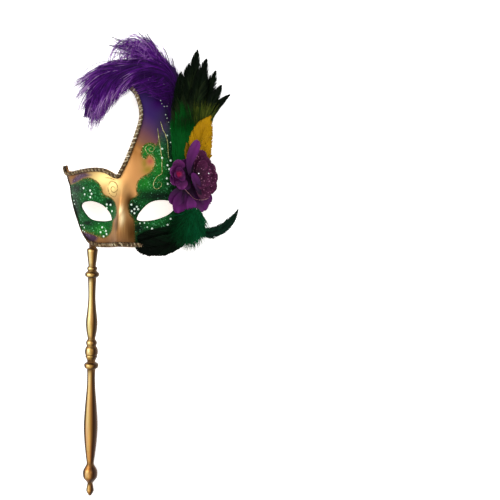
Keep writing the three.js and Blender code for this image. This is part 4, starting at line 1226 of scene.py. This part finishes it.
def buildStones(material):
    bm = bmesh.new()
    for place in flowerForm["stones"]:
        seat = Matrix.Translation(fromNest(place)) @ Matrix.Rotation(nestTurn, 4, "Y")
        bmesh.ops.create_uvsphere(bm, u_segments=8, v_segments=5, radius=flowerForm["stoneRadius"], matrix=seat)
    piece = addPiece("rhinestones", bmeshToMesh(bm, "rhinestone_mesh"), [material])
    piece.data.polygons.foreach_set("use_smooth", [False] * len(piece.data.polygons))


def stoneMaterial():
    # cut acrylic with a silvered back: small flat facets that flash white
    material, tree = newMaterial("silvered_acrylic_rhinestone")
    finish = addNode(tree, "BsdfPrincipled", {"Base Color": colour("f2eef4"), "Metallic": 0.7,
                                              "Roughness": 0.08})
    addNode(tree, "OutputMaterial", {"Surface": finish[0]})
    return material


def buildPiping(material):
    line = fromNest(evenly(curveThrough(flowerForm["piping"]), flowerForm["pipingSteps"]))
    share = np.linspace(0, 1, len(line))
    widths = flowerForm["pipingWidth"] * np.interp(share, [0, 0.1, 0.9, 1], [0.3, 1, 1, 0.3])
    groups = [(line[None], widths[None], nestUp, 0.9, np.full((1, len(line)), 0.5))]
    addPiece("petal_piping", strandMesh("petal_piping_mesh", groups, 6), [material])


purpleCloth = petalMaterial("purple_petal_cloth", [(0, "1a041c"), (0.3, "320836"), (0.65, "4a104c"),
                                                   (1, "621c64")],
                            0.0)
maroonCloth = petalMaterial("glittered_maroon_petal_cloth", [(0, "180810"), (0.35, "38082a"),
                                                             (0.7, "460c36"), (1, "521440")], 0.45)
plumCloth = petalMaterial("plum_petal_cloth", [(0, "9c1048"), (0.12, "6c0e46"), (0.36, "3e0a40"),
                                               (0.75, "541450"), (1, "6a2268")], 0.12)
buildPetals("flower_petals", purpleCloth, "flower_back")
buildPetals("glitter_petals", maroonCloth, "flower_ruffle", 0.07)
buildPetals("small_blossom", plumCloth, "side_blossom")
buildStones(stoneMaterial())


# Raised paint: white dots, gold glitter lines and scrolls, set on the shell

dotForm = {
    "sides": (10, 6), "lift": 0.1, "flatness": 0.6, "radius": {"large": 1.18, "small": 0.8, "fine": 0.62},
    "large": [(-49.9, 23.3), (-40.5, 20.8), (-38.8, 17.2), (-48.3, 16.8), (-40.5, 13.8), (-19.8, 6),
              (-14.8, 5.6), (-20, 2.3), (-12.7, -1.1), (-25.2, -18), (-20.5, -21.8), (-27.4, -23.2),
              (-19.8, -25), (-23.8, -27.6), (9.3, 5.7), (14, 3.5), (15.2, 0.9), (9.7, -1.1), (12, -3.2),
              (11.9, 1), (46.7, -9.2), (43.9, -15.4), (29, -19.3), (38.1, 64.1), (38.4, 54.6),
              (46.4, 51.9), (43.8, 46.8), (45.4, 42.9), (43.3, 33.2), (44.3, 27.5)],
    "small": [(-66.5, 10.3), (-65.2, 6.6), (-70.5, 16.7), (-51.4, -16), (-49.5, -18.5), (-49.1, -22.9),
              (-51.8, -21.8), (-54.6, -16), (21.5, -13.4), (17.2, -13.7), (24.3, -17.8), (48.1, -16.9),
              (47.4, 28.7), (42.1, 78.2), (45.6, 70.9)],
    "fine": [(32.9, 115.3), (34.4, 111.9), (37.1, 109.2), (39.8, 109.4), (39.1, 100.2), (40.8, 96.5),
             (42.5, 92.1), (45, 85.5)],
}


def buildDots(material):
    form, bm = dotForm, bmesh.new()
    around, rings = form["sides"]
    for key, radius in form["radius"].items():
        size = Matrix.Diagonal((radius, radius, radius * form["flatness"], 1))
        for place in form[key]:
            normal = Vector(faceNormal(np.float64(place[0]), np.float64(place[1])))
            turned = normal.to_track_quat("Z", "Y").to_matrix().to_4x4()
            bmesh.ops.create_uvsphere(bm, u_segments=around, v_segments=rings, radius=1,
                                      matrix=Matrix.Translation(onFace(place, form["lift"])) @ turned @ size)
    return addPiece("paint_dots", bmeshToMesh(bm, "paint_dots_mesh"), [material])


def dotMaterial():
    # puff paint, white: raised, soft-edged, slightly pearly
    material, tree = newMaterial("white_puff_paint")
    place = addNode(tree, "TexCoord")["Object"]
    cloud = addNode(tree, "TexNoise", {"Vector": place, "Scale": 600, "Detail": 1})["Fac"]
    tone = addNode(tree, "ValToRGB", {"Fac": cloud}, [(0.3, "c4dcc8"), (0.7, "e8f4e6")])[0]
    finish = addNode(tree, "BsdfPrincipled", {"Base Color": tone, "Roughness": 0.35})
    addNode(tree, "OutputMaterial", {"Surface": finish[0]})
    return material


lineForm = {
    "width": 0.85, "lift": 0.12, "step": 0.8,
    "lines": [[(34.9, 92.7), (37.7, 84.1), (39.8, 80.2), (42.6, 72.2), (43.5, 64.3), (44.1, 57.7),
               (44.6, 53.8)],
              [(32.5, 86), (33.9, 77.5), (35.7, 68.2), (37.3, 59), (38.4, 53.7), (38.3, 47.1), (38.8, 40.6),
               (37.9, 37.6), (33.8, 34.7), (31.1, 29.4), (30.5, 25.5), (32.1, 22.6), (35.1, 22.4), (38, 25),
               (38.2, 28.2), (35.8, 29.4), (34.4, 27.4)],
              [(27.6, 64.9), (25.4, 64.2), (26.2, 61.6), (29.3, 61.6), (30.4, 64.9), (28.1, 67.8),
               (24, 67.8), (21.6, 64.9), (22.4, 62), (24.5, 58.8), (28.3, 57.2), (31.2, 53.4), (31.6, 49),
               (30, 45)]],
    "dark": [[(-17.4, 26.3), (-13.5, 30.3), (-7.3, 27.1), (-5.8, 21), (-11.1, 18.4), (-14.4, 21.9),
              (-11.9, 25), (-9.2, 22.7)],
             [(-18, 23.7), (-16.5, 17.6), (-11, 14), (-6.5, 15.7), (-7, 18.6)], [(-21, 34), (-15.5, 33.5),
                                                                                 (-9, 31)]],
}


def buildLines(name, key, material):
    form, groups = lineForm, []
    for line in form[key]:
        path = curveThrough(line)
        count = max(int(pathLength(path) / form["step"]), 8)
        plan = evenly(path, count)
        normal = faceNormal(plan[:, 0], plan[:, 1])
        widths = form["width"] * np.interp(np.linspace(0, 1, count), [0, 0.1, 0.8, 1], [0.5, 1, 0.9, 0.4])
        groups.append((onFace(plan, form["lift"])[None], widths[None], normal[None], 0.7,
                       np.zeros((1, count))))
    return addPiece(name, strandMesh(name + "_mesh", groups, 6), [material])


def lineMaterial(name, stops):
    # glitter glue: clear binder full of gold flakes
    material, tree = newMaterial(name)
    place = addNode(tree, "TexCoord")["Object"]
    flake = addNode(tree, "TexVoronoi", {"Vector": place, "Scale": 1200})["Color"]
    chance = addNode(tree, "SeparateColor", {"Color": flake})
    tone = addNode(tree, "ValToRGB", {"Fac": chance["Red"]}, stops)[0]
    bump = addNode(tree, "Bump", {"Height": chance["Green"], "Strength": 0.5, "Distance": 0.0003})[0]
    finish = addNode(tree, "BsdfPrincipled", {"Base Color": tone, "Normal": bump, "Metallic": 0.5,
                                              "Roughness": 0.4})
    addNode(tree, "OutputMaterial", {"Surface": finish[0]})
    return material


goldGlue = lineMaterial("gold_glitter_glue", [(0, "56581c"), (0.5, "8c8840"), (1, "dcd8a0")])
bronzeGlue = lineMaterial("bronze_glitter_glue", [(0, "74501e"), (0.5, "98723a"), (1, "d0ac68")])
roseGlue = lineMaterial("rose_glitter_glue", [(0, "5a2c3c"), (0.5, "84505a"), (1, "b08a84")])
buildDots(dotMaterial())
buildLines("glitter_lines", "lines", goldGlue)
buildLines("bronze_scrolls", "dark", bronzeGlue)
buildPiping(roseGlue)


# Floor, light and camera

stageForm = {
    "floor": 14.0, "glow": 0.62, "world": 0.42, "lit": (0, 0.08, 0.02),
    "lights": [  # place in metres, size, watts; all point to the lit place
        ((-0.9, 0.7, 1.5), 1.4, 28), ((0.9, 0.3, 1.4), 1.0, 9), ((0.0, -1.2, 1.3), 1.2, 8)],
    "reference": (0, 0, 46), "yaw": 18, "distance": 1500, "aim": (131.8, -42), "lens": 102.9,
}


def buildStage():
    bm = bmesh.new()
    bmesh.ops.create_grid(bm, x_segments=4, y_segments=4, size=stageForm["floor"] / 2)
    mesh = bpy.data.meshes.new("floor_mesh")
    bm.to_mesh(mesh)
    bm.free()
    floor = bpy.data.objects.new("floor", mesh)
    bpy.context.scene.collection.objects.link(floor)
    # white light table: bright from below, so shadows stay faint
    material, tree = newMaterial("white_acrylic_table")
    finish = addNode(tree, "BsdfPrincipled", {
        "Base Color": colour("f4f4f2"), "Roughness": 0.6, "Emission Color": colour("ffffff"),
        "Emission Strength": stageForm["glow"]})
    addNode(tree, "OutputMaterial", {"Surface": finish[0]})
    mesh.materials.append(material)
    for k, (place, size, watts) in enumerate(stageForm["lights"]):
        lamp = bpy.data.lights.new(f"softbox_{k}", "AREA")
        lamp.size, lamp.energy = size, watts
        holder = bpy.data.objects.new(f"softbox_{k}", lamp)
        holder.location = place
        holder.rotation_mode = "QUATERNION"
        holder.rotation_quaternion = (Vector(stageForm["lit"]) - Vector(place)).to_track_quat("-Z", "Y")
        bpy.context.scene.collection.objects.link(holder)
    world = bpy.data.worlds.new("studio")
    world.use_nodes = True
    sky = world.node_tree.nodes["Background"].inputs
    sky["Strength"].default_value = stageForm["world"]
    sky["Color"].default_value = colour("ffffff")
    bpy.context.scene.world = world


def buildCamera():
    form = stageForm
    yaw = math.radians(form["yaw"])
    right = np.array([math.cos(yaw), 0, -math.sin(yaw)])
    back = np.array([math.sin(yaw), 0, math.cos(yaw)])
    reference = np.array(form["reference"], float)
    eye = Vector(toRow(reference + back * form["distance"]))
    aim = Vector(toRow(reference + right * form["aim"][0] + np.array([0, 1, 0]) * form["aim"][1]))
    view = (eye - aim).normalized()
    across = Vector((0, 1, 0)).cross(view).normalized()
    up = view.cross(across)
    camera = bpy.data.cameras.new("camera")
    camera.lens, camera.sensor_width, camera.sensor_fit = form["lens"], 36, "HORIZONTAL"
    camera.clip_start, camera.clip_end = 0.05, 50
    holder = bpy.data.objects.new("camera", camera)
    holder.matrix_world = Matrix.Translation(eye) @ Matrix((across, up, view)).transposed().to_4x4()
    bpy.context.scene.collection.objects.link(holder)
    bpy.context.scene.camera = holder


buildStage()
buildCamera()
bpy.context.scene.view_settings.view_transform = "Standard"
print("stage and camera set")
